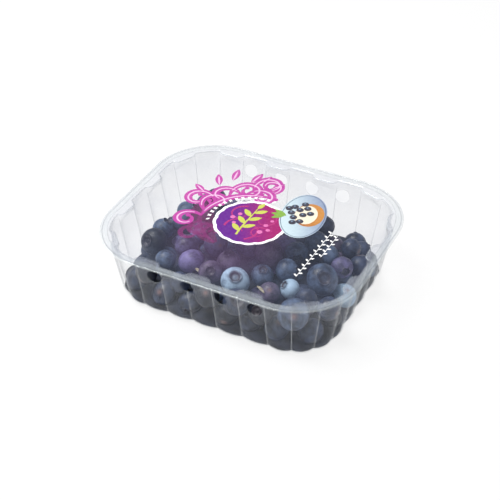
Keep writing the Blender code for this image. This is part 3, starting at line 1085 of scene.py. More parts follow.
@dataclass(frozen=True)
class Heap:
    """The berries: forty placed where they show, and the rest fallen in round them."""

    tray: Tray
    shape: BerryShape = BerryShape()
    gap: float = 0.0003
    seed: int = 11
    look_seed: int = 13
    smallest: float = 0.0061
    largest: float = 0.0077
    layers: Pair = (0.0090, 0.0205)
    spacing: float = 0.0139
    scatter: float = 0.12
    wall_crowding: float = 0.75
    upper_end: float = -0.052
    upper_back: float = 0.044
    upper_middle: float = 0.010
    upper_fall: float = 0.25
    placed_yield: float = 0.12
    steps: int = 500
    fall: float = 0.00006
    push: float = 0.35
    wall_lean: float = 1.02
    crowding: float = 0.84
    skin_shares: tuple[float, ...] = (0.0, 0.42, 0.26, 0.18, 0.02, 0.02, 0.10)
    cover_swing: float = 0.1
    core_top: float = 0.0125
    core_waves: float = 0.0009
    core_pace: Pair = (480.0, 430.0)
    core_flute_points: int = 10
    core_rings: int = 12
    core_reach: Pair = (0.05, 0.95)

    # The core's edge from its top to underneath: inset and height in millimetres, and share
    # of the flute depth
    CORE_EDGE = (
        (21.5, 11.5, 0.0), (21.5, 8.5, 0.0), (18.0, 6.6, 0.4), (13.8, 4.9, 1.0),
        (13.4, 3.4, 1.0), (13.9, 2.2, 0.95), (14.5, 1.4, 0.9), (15.6, 0.9, 0.4),
        (20.2, 0.9, 0.0), (26.0, 7.5, 0.0),
    )

    # Berries that show on top and through the front, as x, y, z and radius in millimetres
    PLACED = (
        (-53, -22, 22, 7.9), (-56, -8, 22, 6.6), (-49, 3, 22, 6.6), (-35, -17, 22, 7.6),
        (-25, -29, 22, 8.0), (-40, -33, 21, 6.2), (-20, -9, 22, 7.4), (6, -34, 22, 8.4),
        (17, -22, 22, 6.6), (-6, -19, 21, 6.9), (-11, -32, 21, 6.8), (11, -2, 22, 8.4),
        (24, 7, 22, 7.1), (28, -12, 22, 7.2), (27, -33, 21, 6.2), (37, -26, 22, 5.8),
        (46, -29, 19, 6.2), (49, -10, 22, 9.2), (31, 20, 22, 6.8), (42, 13, 22, 6.6),
        (55, 5, 22, 6.6), (50, 25, 18, 6.2), (55, 36, 13, 6.2), (61, 16, 18, 6.8),
        (29, 38, 20, 6.8), (-42, 31, 21, 6.9), (-45, -47, 19, 6.8), (-4, -49, 20, 7.2),
        (14, -49, 20, 7.6), (30, -49, 20, 7.0), (49, -44, 20, 9.0), (62, -30, 20, 7.0),
        (-53, -43, 9, 7.4), (-15, -46, 9, 7.0), (5, -46, 9, 7.0), (22, -46, 9, 7.0),
        (38, -46, 9, 7.2), (55, -41, 9, 7.4), (64, -24, 9, 7.2), (-31, -46, 9, 7.2),
    )

    # Looks of the placed berries, in the same order; their darkest skin is painted shade
    POSES = (
        Pose(Skin.SHADOWED, -0.55, 0.0, 0.84), Pose(Skin.SLATE), Pose(Skin.SLATE),
        Pose(Skin.PURPLE), Pose(Skin.LAVENDER, 0.4, -0.9, 0.1), Pose(Skin.SLATE),
        Pose(Skin.PURPLE), Pose(Skin.LIGHT, 0.0, 0.45, 0.9), Pose(Skin.SLATE, 0.1, 0.6, 0.8),
        Pose(Skin.BROWN, 0.1, 0.8, 0.6), Pose(Skin.BROWN, 0.0, 0.1, 1.0),
        Pose(Skin.BROWN, 0.5, 0.5, 0.72), Pose(Skin.SLATE, 0.1, -0.6, 0.75),
        Pose(Skin.SLATE, 0.9, 0.1, 0.3), Pose(Skin.BROWN, 0.0, -0.3, -0.9),
        Pose(Skin.LIGHT, -0.7, 0.5, 0.5), Pose(Skin.NAVY), Pose(Skin.SLATE, 0.12, 0.1, 0.98),
        Pose(Skin.SLATE, 0.3, -0.7, 0.6), Pose(Skin.SLATE), Pose(Skin.PURPLE, 0.3, -0.4, 0.85),
        Pose(Skin.NAVY), Pose(Skin.NAVY), Pose(Skin.NAVY), Pose(Skin.NAVY), Pose(Skin.NAVY),
        Pose(Skin.SHADOWED), Pose(Skin.SHADOWED, 0.1, -0.2, -0.95), Pose(Skin.NAVY, 0.1, 0.2, 0.95),
        Pose(Skin.SHADOWED), Pose(Skin.SLATE), Pose(Skin.NAVY), Pose(Skin.NAVY),
        Pose(Skin.NAVY), Pose(Skin.SHADOWED), Pose(Skin.NAVY), Pose(Skin.NAVY),
        Pose(Skin.NAVY), Pose(Skin.SHADOWED), Pose(Skin.NAVY),
    )

    @property
    def rim(self) -> Rim:
        """The tray's rim."""
        return self.tray.rim

    def wall_inset(self, height: np.ndarray) -> np.ndarray:
        """Inset of the tray's inner face at its creases, with the gap to the berries.

        Args:
            height: heights of the berries' centres.

        Returns:
            Insets, along straight runs from the base to the rim.
        """
        tray = self.tray
        heights = [0.0, tray.foot_height, self.rim.height - tray.wall - tray.lug_drop,
                   self.rim.height]
        insets = [tray.ring_outer, tray.foot_inset, self.rim.wall_inset, self.rim.wall_inset]
        return np.interp(height, heights, insets) + tray.wall + self.gap

    def loose(self, rng: np.random.Generator, placed: np.ndarray) -> np.ndarray:
        """Layers of berries in staggered rows, left out where a placed berry lies.

        The upper layer stops short of the -X end and falls away towards the back corners.

        Args:
            rng: source of the scatter.
            placed: rows of the placed berries.

        Returns:
            Rows of centre and radius.
        """
        depth_step = self.spacing * math.sqrt(3) / 2
        rows = int(self.rim.width / depth_step) + 1
        columns = int(self.rim.length / self.spacing) + 1
        layer, row, column = np.meshgrid(np.arange(2), np.arange(-rows, rows + 1),
                                         np.arange(-columns, columns + 1), indexing="ij")
        centres = np.stack([(column + (row % 2) / 2 + layer / 2) * self.spacing,
                            (row + layer / 3) * depth_step,
                            np.array(self.layers)[layer]], axis=3).reshape(-1, 3)
        lower = centres[:, 2] < self.layers[1]
        centres += rng.uniform(-1, 1, centres.shape) * self.spacing * self.scatter
        radii = rng.uniform(self.smallest, self.largest, len(centres))
        depth, _ = self.rim.outward(centres)
        fits = depth > self.wall_inset(centres[:, 2]) + radii * self.wall_crowding
        back = self.upper_back - self.upper_fall * np.abs(centres[:, 0] - self.upper_middle)
        kept = fits & (lower | ((centres[:, 0] > self.upper_end) & (centres[:, 1] < back)))
        centres = centres[kept]
        radii = radii[kept]
        apart = np.linalg.norm(centres[:, None, :] - placed[None, :, :3], axis=2)
        reach = (radii[:, None] + placed[None, :, 3]) * self.crowding
        clear = np.all(apart > reach, axis=1)
        return np.column_stack([centres[clear], radii[clear]])

    def settle(self) -> np.ndarray:
        """Let the loose berries fall and push each other apart round the placed ones.

        Each step lowers the loose berries a little, moves every overlapping pair apart by a
        share of the overlap, and keeps all of them off the wall, the base and the film.

        Returns:
            Rows of centre and radius.
        """
        rng = np.random.default_rng(self.seed)
        listed = np.array(self.PLACED) * MM
        heap = np.concatenate([listed, self.loose(rng, listed)])
        centres = heap[:, :3]
        radii = heap[:, 3]
        free = np.arange(len(heap)) >= len(listed)
        ease = np.where(free, 1.0, self.placed_yield)[:, None]
        least = radii[:, None] + radii[None, :]
        np.fill_diagonal(least, 0.0)
        floor = self.tray.panel_rise + self.tray.wall + self.gap
        for _ in range(self.steps):
            centres[free, 2] -= self.fall
            between = centres[:, None, :] - centres[None, :, :]
            apart = np.linalg.norm(between, axis=2)
            overlap = np.maximum(least - apart, 0.0)
            shove = between * (overlap / np.maximum(apart, HARDLY_ANY))[:, :, None]
            centres += shove.sum(axis=1) * self.push * ease
            depth, way = self.rim.outward(centres)
            lean = self.wall_inset(centres[:, 2]) + radii * self.wall_lean - depth
            centres[:, :2] -= way * np.maximum(lean, 0.0)[:, None]
            centres[:, 2] = np.maximum(centres[:, 2], floor + radii)
            centres[:, 2] = np.minimum(centres[:, 2], self.rim.height - self.gap - radii)
        return np.column_stack([centres, radii])

    def turns(self, rng: np.random.Generator, count: int) -> np.ndarray:
        """Frames of the berries, with the crown along the last axis.

        A placed berry's crown follows its pose, and any other points a random way; two more
        axes are found by cross products with a random direction.

        Args:
            rng: source of the random ways.
            count: how many berries.

        Returns:
            Array of berries by axes by three.
        """
        crown = rng.normal(0.0, 1.0, (count, 3))
        wanted = np.array([(pose.right, pose.up, pose.towards) for pose in self.POSES])
        posed = np.flatnonzero(np.linalg.norm(wanted, axis=1) > 0)
        crown[posed] = wanted[posed] @ np.array([VIEW_RIGHT, VIEW_UP, VIEW_TOWARDS])
        crown /= np.linalg.norm(crown, axis=1)[:, None]
        side = np.cross(crown, rng.normal(0.0, 1.0, (count, 3)))
        side /= np.linalg.norm(side, axis=1)[:, None]
        return np.stack([side, np.cross(crown, side), crown], axis=1)

    def skins(self, rng: np.random.Generator, count: int) -> list[Skin]:
        """Looks of all the berries: the placed ones as listed, the rest drawn.

        Args:
            rng: source of the draws.
            count: how many berries.

        Returns:
            One look for each.
        """
        kinds = list(Skin)
        drawn = rng.choice(len(kinds), count, p=self.skin_shares)
        listed = [pose.skin for pose in self.POSES]
        return listed + [kinds[index] for index in drawn[len(listed):]]

    def build_berries(self) -> bpy.types.Object:
        """Make every berry in one piece: its unit shape scaled, turned and set in place."""
        heap = self.settle()
        count = len(heap)
        rng = np.random.default_rng(self.look_seed)
        shapes = self.shape.points(rng, count)
        turned = np.einsum("bpk,bkx->bpx", shapes, self.turns(rng, count))
        points = turned * heap[:, None, 3:4] + heap[:, None, :3]
        each = points.shape[1]
        starts = (np.arange(count) * each)[:, None, None]
        quads, tips = self.shape.faces()
        faces = [(quads[None] + starts).reshape(-1, 4), (tips[None] + starts).reshape(-1, 3)]
        berries = make_piece("blueberries", points.reshape(-1, 3), faces,
                             BerrySkin().material(), "berry_skin")
        skins, blooms, covers = [np.array(values) for values in zip(
            *[skin.value for skin in self.skins(rng, count)])]
        covers = covers + rng.uniform(-self.cover_swing, self.cover_swing, count)
        give_points(berries, "skin", np.repeat(skins, each, axis=0))
        give_points(berries, "bloom", np.repeat(blooms, each, axis=0))
        give_points(berries, "cover", np.repeat(covers, each))
        give_points(berries, "crown", np.tile(self.shape.crown_share(), count))
        give_points(berries, "scar", np.tile(self.shape.scar_share(), count))
        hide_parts("berries")
        log.info("blueberries: %d of them", count)
        return berries

    def build_core(self) -> bpy.types.Object:
        """Make the dark middle of the heap: a low lumpy block that reaches the wall's foot.

        Rings run from the middle of its top out to the edge, down the edge's profile and back
        in underneath. The top has waves, the product of a sine along X and one along Y, and
        the foot swells into the tray's flutes by 1 - (2u - 1)^2 across each.

        Returns:
            The piece.
        """
        tray = self.tray
        around = tray.flutes * self.core_flute_points
        place = np.arange(around) / around
        centres, ways = self.rim.path(tray.first_crease + place * self.rim.path_length())
        bulge = 1 - (2 * np.mod(place * tray.flutes, 1.0) - 1) ** 2
        edge = np.array(self.CORE_EDGE)
        inset = (edge[:, :1] * MM - edge[:, 2:] * tray.flute_depth * bulge)[..., None]
        rows = centres[None] + ways[None] * (self.rim.corner - inset)
        shares = np.linspace(*self.core_reach, self.core_rings)[:, None, None]
        upper = rows[0][None] * shares
        under = rows[-1][None] * shares[::-3]
        waves = (np.sin(upper[..., 0] * self.core_pace[0])
                 * np.sin(upper[..., 1] * self.core_pace[1]))
        lowest = edge[-1, 1] * MM
        heights = np.concatenate([
            self.core_top + self.core_waves * waves,
            np.broadcast_to(edge[:, 1:2] * MM, (len(edge), around)),
            np.full((len(under), around), lowest)])
        rings = raised(np.concatenate([upper, rows, under]), heights)
        points = np.concatenate([rings.reshape(-1, 3),
                                 [[0.0, 0.0, self.core_top], [0.0, 0.0, lowest]]])
        finish = PlainFinish("heap_shade", tint(11, 12, 19), tint(44, 50, 68), 120.0, 0.8)
        return make_piece("heap_core", points, [*closed_faces(len(rings), around, False)],
                          finish.material(), "berry_skin")


class Sheet:
    """Flat closed shapes of one ink, gathered into one mesh on the film."""

    # Thickness of a coat, spacing of the coats, and the step that parts shapes of one coat
    COAT = 0.000012
    SPACING = 0.000014
    STEP = 0.0000003
    FIRST_COAT = 0.5
    NEXT_COAT = 1.3
    BAND_LOOPS = 3
    INNERMOST = 0.15

    def __init__(self, film: Film, level: int) -> None:
        """Start an empty sheet.

        Args:
            film: the film that carries it.
            level: how many coats lie under it.
        """
        self.film = film
        self.lift = (level * self.NEXT_COAT + self.FIRST_COAT) * self.SPACING
        self.points: list[np.ndarray] = []
        self.quads: list[np.ndarray] = []
        self.tips: list[np.ndarray] = []
        self.count = 0

    def lay(self, flat: np.ndarray) -> tuple[np.ndarray, np.ndarray]:
        """Lay a shape on the film, a step above the last one.

        Args:
            flat: its points in metres.

        Returns:
            Its points on the upper and the lower side of the coat.
        """
        self.lift += self.STEP
        height = self.film.top(flat[..., 0], flat[..., 1]) + self.lift
        return raised(flat, height + self.COAT), raised(flat, height)

    def keep(self, points: np.ndarray, quads: np.ndarray) -> None:
        """Gather the points and four-cornered faces of a shape."""
        self.points.append(points)
        self.quads.append(quads + self.count)
        self.count += len(points)

    def patch(self, outline: np.ndarray, rings: int) -> None:
        """Add a filled shape whose outline is seen whole from its middle.

        Args:
            outline: its points in millimetres, anticlockwise.
            rings: loops between the outline and the middle.
        """
        outline = outline * MM
        middle = outline.mean(axis=0)
        shares = np.linspace(1.0, self.INNERMOST, rings)[:, None, None]
        upper, lower = self.lay(middle + (outline - middle)[None] * shares)
        rows = np.concatenate([upper[::-1], lower])
        quads, tips = closed_faces(len(rows), len(outline), False)
        self.tips.append(tips + self.count)
        self.keep(np.concatenate([rows.reshape(-1, 3), rows[[0, -1]].mean(axis=1)]), quads)

    def band(self, outer: np.ndarray, inner: np.ndarray) -> None:
        """Add a closed band between two outlines of as many points, in millimetres.

        Its section is closed too, so the last ring is joined to the first.

        Args:
            outer: outer outline, anticlockwise.
            inner: inner outline, anticlockwise.
        """
        shares = np.linspace(0.0, 1.0, self.BAND_LOOPS)[:, None, None]
        upper, lower = self.lay((outer + (inner - outer) * shares) * MM)
        points = np.concatenate([upper[::-1], lower]).reshape(-1, 3)
        self.keep(points, ring_faces(2 * self.BAND_LOOPS + 1, len(outer)) % len(points))

    def ribbon(self, path: np.ndarray, widths: np.ndarray) -> None:
        """Add a line of changing width: a strip of four-cornered section, closed at its ends.

        Each edge lies half the width to one side of the path, square to its heading.

        Args:
            path: its middle line in millimetres.
            widths: its width at each point in millimetres.
        """
        heading = np.gradient(path, axis=0)
        heading /= np.linalg.norm(heading, axis=1)[:, None]
        side = np.column_stack([-heading[:, 1], heading[:, 0]]) * (widths / 2)[:, None]
        upper, lower = self.lay(np.stack([path + side, path - side]) * MM)
        points = np.stack([upper[0], lower[0], lower[1], upper[1]], axis=1).reshape(-1, 3)
        last = len(points) - 4
        ends = [[0, 1, 2, 3], [last + 3, last + 2, last + 1, last]]
        self.keep(points, np.concatenate([ring_faces(len(path), 4), ends]))

    def build(self, name: str, ink: Ink) -> bpy.types.Object:
        """Make the piece.

        Args:
            name: its name.
            ink: its finish.

        Returns:
            The object.
        """
        faces = [np.concatenate(group) for group in (self.quads, self.tips) if group]
        piece = make_piece(name, np.concatenate(self.points), faces, ink.material(),
                           "clear_film")
        piece.data.set_sharp_from_angle(angle=math.radians(self.film.sharp_angle))
        return piece


def turned(points: np.ndarray, degrees: float) -> np.ndarray:
    """Turn flat points anticlockwise about the origin."""
    cosine, sine = math.cos(math.radians(degrees)), math.sin(math.radians(degrees))
    return points @ np.array([[cosine, sine], [-sine, cosine]])


def circle(middle: np.ndarray, radius: float, count: int) -> np.ndarray:
    """Points round a circle, anticlockwise, in millimetres."""
    turn = full_turn(count)
    return middle + radius * np.column_stack([np.cos(turn), np.sin(turn)])


def oval(middle: np.ndarray, across: float, along: float, tilt: float) -> np.ndarray:
    """Points round an ellipse.

    Args:
        middle: its centre in millimetres.
        across: half its width.
        along: half its length.
        tilt: degrees that its length is turned from +Y, anticlockwise.

    Returns:
        The points, anticlockwise.
    """
    turn = full_turn(64)
    return middle + turned(np.column_stack([across * np.cos(turn), along * np.sin(turn)]), tilt)


def leaf(base: np.ndarray | Pair, heading: float, length: float, width: float,
         count: int = 14) -> np.ndarray:
    """Outline of a pointed leaf.

    Its half width is the width times sin(pi s) to the power 0.8 over 2, where s runs from
    its base to its tip.

    Args:
        base: where it starts, in millimetres.
        heading: degrees from +X.
        length: of its middle line.
        width: at its widest.
        count: points along each edge.

    Returns:
        The outline, anticlockwise.
    """
    share = np.linspace(0.0, 1.0, count)
    half = swell(share, 0.0, width / 2, 0.8)
    edge = np.concatenate([np.column_stack([share * length, -half]),
                           np.column_stack([share * length, half])[-2:0:-1]])
    return base + turned(edge, heading)


def tendril(start: np.ndarray | Pair, heading: float, length: float, bend: float,
            tighten: float, count: int = 60) -> np.ndarray:
    """Middle line of a curl whose bend tightens evenly along it.

    The heading at s is the first heading plus bend s plus half of tighten s squared, and the
    points are its running sum.

    Args:
        start: first point in millimetres.
        heading: first heading in degrees.
        length: of the curl in millimetres.
        bend: first bend in degrees a millimetre.
        tighten: growth of the bend in degrees a square millimetre.
        count: how many points.

    Returns:
        The points.
    """
    s = np.linspace(0.0, length, count)
    angle = np.radians(heading + bend * s + tighten * s ** 2 / 2)
    step = length / (count - 1)
    moves = np.column_stack([np.cos(angle), np.sin(angle)])[:-1] * step
    return np.concatenate([[start], start + np.cumsum(moves, axis=0)])


@dataclass(frozen=True)
class Print:
    """The film's print: a scalloped badge, a vine of curls, a plate of fruit and garlands."""

    film: Film
    badge: Pair = (-0.2, -3.0)
    badge_radius: float = 21.2
    badge_border: float = 1.9
    scallops: int = 16
    scallop_depth: float = 0.55
    plate: Pair = (24.4, 16.6)
    plate_half: Pair = (13.5, 22.0)
    plate_tilt: float = 12.0
    plate_line: Pair = (0.7, 1.1)
    plate_leaf: Pair = (9.0, 3.2)
    fruit_radius: float = 2.2
    glint_radius: float = 0.55
    glint_shift: Pair = (-0.5, 0.7)
    wash_width: float = 15.0
    shaded_width: Pair = (0.8, 2.2)
    shaded_swell: Pair = (0.9, 0.05)
    curl_width: Pair = (1.0, 4.2)
    curl_swell: Pair = (0.93, 0.05)
    curl_tip_radius: float = 1.5
    line_share: float = 0.20
    leaf_line: Pair = (0.85, 0.25)
    swirl_width: Pair = (1.5, 0.6)
    sprig_width: Pair = (1.3, 0.6)
    sprig_leaf: Pair = (8.5, 3.4)
    sprig_tip_leaf: Pair = (7.0, 3.0)
    sprig_headings: Pair = (140, 40)
    sprig_tip_heading: float = 78
    garland_heading: float = 88.5
    garland_width: float = 0.30
    bead: Pair = (2.5, 1.15)
    bead_headings: Pair = (145, 35)
    bead_first: float = 0.8
    bead_pitch: float = 2.45
    bead_drift: float = 0.064
    arc_bead: Pair = (3.0, 1.15)
    arc_radius: float = 23.6
    arc_reach: Pair = (84, 196)
    arc_count: int = 26
    arc_lean: float = 40

    # All places and lengths are in millimetres, and headings in degrees from +X.
    # Curls, as start, heading, length, bend and tightening, and for some the number of points
    WASH = ((-9, -29), 160, 52, -1.75, 0.0, 90)
    STEM = ((-29, -10), 98, 54, -1.91, 0.0, 80)
    CURLS = (
        ((-29, -9), 160, 36, 4.4, 0.36), ((-29, -4), 150, 44, -3.4, -0.27),
        ((-28, 6), 118, 46, 3.4, 0.26), ((-23, 15), 112, 50, -2.6, -0.24),
        ((-15, 22), 70, 40, -4.0, -0.30), ((-11, 25), 128, 46, -3.0, -0.26),
        ((-4, 27), 30, 34, 5.0, 0.36), ((-18, 20), 140, 34, 4.2, 0.30),
    )
    SHADED_CURLS = (
        ((-10, -29), 160, 40, -1.80, 0.0), ((-16, -27), 185, 30, -5.0, -0.40),
        ((-23, -20), 175, 30, 5.0, 0.40), ((-26, -14), 215, 26, 5.2, 0.50),
        ((-19, -24), 120, 24, -5.6, -0.60),
    )

    # Leaves of the vine, as base, heading, length and width
    VINE_LEAVES = (
        ((-34, 23), 120, 12, 4.6), ((-39, 13), 150, 10, 4.2), ((-18, 34), 80, 12, 4.8),
        ((-4, 33), 60, 10, 4.0), ((-29, 31), 100, 13, 4.8), ((-12, 37), 75, 9, 3.6),
    )

    # Curls, sprig and dots on the badge, with places counted from its middle
    SWIRLS = (
        ((4, -16), 40, 30, 4.0, 0.40), ((6, 15), -20, 30, -4.0, -0.40),
        ((15, -3), 150, 24, 5.0, 0.60), ((-8, 14), 200, 26, 4.4, 0.46),
        ((-12, -9), 100, 22, -5.0, -0.60),
    )
    SPRIG = ((-2.0, -14.0), 96, 28, -0.9, 0.05)
    DOTS = ((9, -6, 1.7), (12.5, -2.5, 1.3), (9.5, 1.2, 1.4), (-9, 5, 1.3), (-11.5, 0.5, 1.5),
            (-8.5, -4, 1.2), (11, 6.5, 1.1))

    # Ovals, as middle and halves, fruit, and leaves as base and heading, on the plate, with
    # places counted from its middle
    CRESCENT = ((3.0, 2.2), 8.6, 11.5)
    CREAM = ((1.2, 1.6), 6.6, 9.4)
    FRUIT = ((-7.5, 0), (-4, 4.5), (-4.5, -3.8), (-0.5, 0.6), (-0.5, 7.6), (-8, 6.2),
             (0.5, -6.0), (3.0, 3.6), (-3.5, 11.0), (-10.5, 3.5), (-3.0, -8.6))
    PLATE_LEAVES = (((-9, -4), 190), ((-9.5, -3.5), 225), ((-8.8, -4.4), 160))

    # Straight garlands, as start and number of beads
    GARLANDS = (((44.6, -37.0), 19), ((49.6, -15.0), 9))

    def scalloped(self, radius: float) -> np.ndarray:
        """Outline of the badge: a circle whose radius swells by |cos| in each scallop."""
        turn = full_turn(192)
        reach = radius + self.scallop_depth * np.abs(np.cos(self.scallops * turn / 2))
        return np.array(self.badge) + reach[:, None] * np.column_stack(
            [np.cos(turn), np.sin(turn)])

    def plate_oval(self, inset: float) -> np.ndarray:
        """Outline of the plate, or of a line inside it."""
        across, along = self.plate_half
        return oval(np.array(self.plate), across - inset, along - inset, self.plate_tilt)

    def build_vine(self) -> list[bpy.types.Object]:
        """Make the wash behind the vine, its curls, its inner lines and its leaves."""
        wash = Sheet(self.film, 0)
        shaded = Sheet(self.film, 1)
        stems = Sheet(self.film, 1)
        lines = Sheet(self.film, 2)
        arc = tendril(*self.WASH)
        wash.ribbon(arc, swell(np.linspace(0.02, 0.98, len(arc)), 0.0, self.wash_width, 0.6))
        for curl in self.SHADED_CURLS:
            path = tendril(*curl)
            share = np.linspace(0.0, 1.0, len(path)) * self.shaded_swell[0] + self.shaded_swell[1]
            shaded.ribbon(path, swell(share, *self.shaded_width, 1.0))
        for curl in (self.STEM, *self.CURLS):
            path = tendril(*curl)
            share = np.linspace(0.0, 1.0, len(path)) * self.curl_swell[0] + self.curl_swell[1]
            widths = swell(share, *self.curl_width, 1.2)
            stems.ribbon(path, widths)
            stems.patch(circle(path[-1], self.curl_tip_radius, count=20), rings=3)
            lines.ribbon(path[8:-12], widths[8:-12] * self.line_share)
        for base, heading, length, width in self.VINE_LEAVES:
            stems.patch(leaf(base, heading, length, width), rings=4)
            line = (length * self.leaf_line[0], width * self.leaf_line[1])
            lines.patch(leaf(base, heading, *line), rings=3)
        return [
            wash.build("print_wash", Ink("ink_plum_wash", tint(104, 20, 88), 0.34)),
            shaded.build("print_shaded_vine", Ink("ink_dark_plum", tint(138, 34, 116), 0.32)),
            stems.build("print_vine", Ink("ink_orchid", tint(182, 46, 154), 0.80)),
            lines.build("print_vine_lines", Ink("ink_pale_pink", tint(236, 190, 226), 0.70)),
        ]

    def build_badge(self) -> list[bpy.types.Object]:
        """Make the badge: its white border, its field and the sprig on it."""
        border = Sheet(self.film, 3)
        inner = self.scalloped(self.badge_radius - self.badge_border)
        border.band(self.scalloped(self.badge_radius), inner)
        field = Sheet(self.film, 3)
        field.patch(inner, rings=14)
        middle = np.array(self.badge)
        swirls = Sheet(self.film, 4)
        for start, *bends in self.SWIRLS:
            swirl = tendril(middle + start, *bends, count=44)
            swirls.ribbon(swirl, np.linspace(*self.swirl_width, len(swirl)))
        sprig = Sheet(self.film, 5)
        start, *bends = self.SPRIG
        stem = tendril(middle + start, *bends, count=30)
        sprig.ribbon(stem, np.linspace(*self.sprig_width, len(stem)))
        for index, place in enumerate(stem[4:28:4]):
            heading = self.sprig_headings[index % 2]
            sprig.patch(leaf(place, heading, *self.sprig_leaf), rings=4)
        sprig.patch(leaf(stem[-1], self.sprig_tip_heading, *self.sprig_tip_leaf), rings=4)
        dots = Sheet(self.film, 5)
        for right, up, radius in self.DOTS:
            dots.patch(circle(middle + (right, up), radius, count=24), rings=3)
        field_ink = Ink("ink_purple_magenta", tint(88, 6, 128), 0.98, tint(148, 0, 96),
                        (-0.014, 0.014), roughness=0.42, grain=0.05)
        return [
            border.build("print_badge_border", Ink("ink_white", tint(246, 242, 246), 0.97)),
            field.build("print_badge_field", field_ink),
            swirls.build("print_badge_swirls",
                         Ink("ink_bright_magenta", tint(196, 34, 132), 0.50)),
            sprig.build("print_sprig", Ink("ink_leaf_yellow", tint(186, 192, 72), 0.96)),
            dots.build("print_badge_dots", Ink("ink_rose", tint(214, 104, 170), 0.90)),
        ]

    def build_plate(self) -> list[bpy.types.Object]:
        """Make the pale oval with its golden crescent, its fruit and its leaves."""
        middle = np.array(self.plate)
        plate = Sheet(self.film, 6)
        plate.patch(self.plate_oval(0.0), rings=12)
        rim = Sheet(self.film, 7)
        rim.band(*[self.plate_oval(inset) for inset in self.plate_line])
        gold = Sheet(self.film, 7)
        shift, *halves = self.CRESCENT
        gold.patch(oval(middle + shift, *halves, self.plate_tilt), rings=8)
        cream = Sheet(self.film, 8)
        shift, *halves = self.CREAM
        cream.patch(oval(middle + shift, *halves, self.plate_tilt), rings=6)
        fruit = Sheet(self.film, 9)
        glints = Sheet(self.film, 10)
        for spot in self.FRUIT:
            fruit.patch(circle(middle + spot, self.fruit_radius, count=24), rings=3)
            glints.patch(circle(middle + spot + self.glint_shift, self.glint_radius, count=12),
                         rings=3)
        leaves = Sheet(self.film, 9)
        for base, heading in self.PLATE_LEAVES:
            leaves.patch(leaf(middle + base, heading, *self.plate_leaf), rings=4)
        mist = Ink("ink_mist", tint(186, 206, 214), 0.96, tint(126, 142, 170), (0.018, 0.044))
        golden = Ink("ink_gold", tint(166, 96, 16), 0.96, tint(188, 126, 42), (0.026, 0.042))
        return [
            plate.build("print_plate", mist),
            rim.build("print_plate_rim", Ink("ink_blue_grey", tint(76, 92, 120), 0.9)),
            gold.build("print_crescent", golden),
            cream.build("print_cream", Ink("ink_cream", tint(226, 216, 194), 0.96)),
            fruit.build("print_fruit", Ink("ink_navy", tint(26, 32, 52), 0.96)),
            glints.build("print_fruit_glints", Ink("ink_glint", tint(120, 146, 176), 0.9)),
            leaves.build("print_leaves", Ink("ink_green", tint(116, 160, 46), 0.96)),
        ]

    def build_garlands(self) -> bpy.types.Object:
        """Make the white garlands: beads on the right and an arc of beads by the badge."""
        white = Sheet(self.film, 10)
        for start, count in self.GARLANDS:
            stem = tendril(start, self.garland_heading, count * self.bead_pitch, 0.0, 0.0,
                           count=24)
            white.ribbon(stem, np.full(len(stem), self.garland_width))
            for bead in range(count):
                move = (self.bead_drift * bead, self.bead_pitch * bead + self.bead_first)
                heading = self.bead_headings[bead % 2]
                white.patch(leaf(np.array(start) + move, heading, *self.bead, count=8), rings=3)
        for index, angle in enumerate(np.linspace(*self.arc_reach, self.arc_count)):
            turn = math.radians(angle)
            spot = np.array([math.cos(turn), math.sin(turn)]) * self.arc_radius
            heading = angle + (self.arc_lean if index % 2 else -self.arc_lean)
            white.patch(leaf(np.array(self.badge) + spot, heading, *self.arc_bead, count=8),
                        rings=3)
        return white.build("print_garlands", Ink("ink_bright_white", tint(252, 252, 252), 0.96))

    def build(self) -> list[bpy.types.Object]:
        """Make the whole print."""
        return [*self.build_vine(), *self.build_badge(), *self.build_plate(),
                self.build_garlands()]


@dataclass(frozen=True)
class Scraps:
    """Dry slivers of leaf and stem among the berries, all in millimetres."""

    width: float = 2.0
    thickness: float = 0.25
    arch: float = 0.7
    around: int = 8
    along: int = 14

    # Slivers, as x, y and z of the middle, heading in degrees and length
    PLACES = (
        (23.6, -37.2, 25.2, -32.0, 7.5),
        (-18.3, -34.5, 22.4, -35.0, 4.5),
    )

    def build(self) -> bpy.types.Object:
        """Make the slivers: pointed strips with an arched middle line and a rounded section."""
        share = np.linspace(0.0, 1.0, self.along)
        half = swell(0.04 + 0.92 * share, 0.0, self.width / 2, 0.7)[:, None, None]
        turn = full_turn(self.around)[None, :, None]
        quads, tips = closed_faces(self.along, self.around, True)
        points, faces, count = [], [], 0
        for x, y, z, heading, length in self.PLACES:
            angle = math.radians(heading)
            line = np.column_stack([
                x + math.cos(angle) * length * (share - 0.5),
                y + math.sin(angle) * length * (share - 0.5),
                z + self.arch * np.sin(math.pi * share)])
            side = np.array([-math.sin(angle), math.cos(angle), 0.0])
            ring = (line[:, None, :] + half * np.cos(turn) * side
                    + self.thickness / 2 * np.sin(turn) * np.array([0, 0, 1.0]))
            points.append(np.concatenate([ring.reshape(-1, 3), line[[0, -1]]]) * MM)
            faces += [quads + count, tips + count]
            count += len(points[-1])
        finish = PlainFinish("dry_leaf", tint(186, 178, 156), tint(132, 122, 98), 900.0, 0.7)
        return make_piece("leaf_scraps", np.concatenate(points), faces, finish.material(),
                          "berry_skin")


@dataclass(frozen=True)
class SoftLight:
    """One soft box: where it hangs, what it points at, its size and its power."""

    name: str
    place: tuple[float, float, float]
    size: float
    watts: float
    aim: tuple[float, float, float] = (0.0, 0.0, 0.02)

    def build(self) -> None:
        """Hang the light."""
        data = bpy.data.lights.new(self.name, 'AREA')
        data.shape = 'SQUARE'
        data.size = self.size
        data.energy = self.watts
        lamp = bpy.data.objects.new(self.name, data)
        lamp.location = self.place
        way = Vector(self.aim) - Vector(self.place)
        lamp.rotation_euler = way.to_track_quat('-Z', 'Y').to_euler()
        bpy.context.scene.collection.objects.link(lamp)


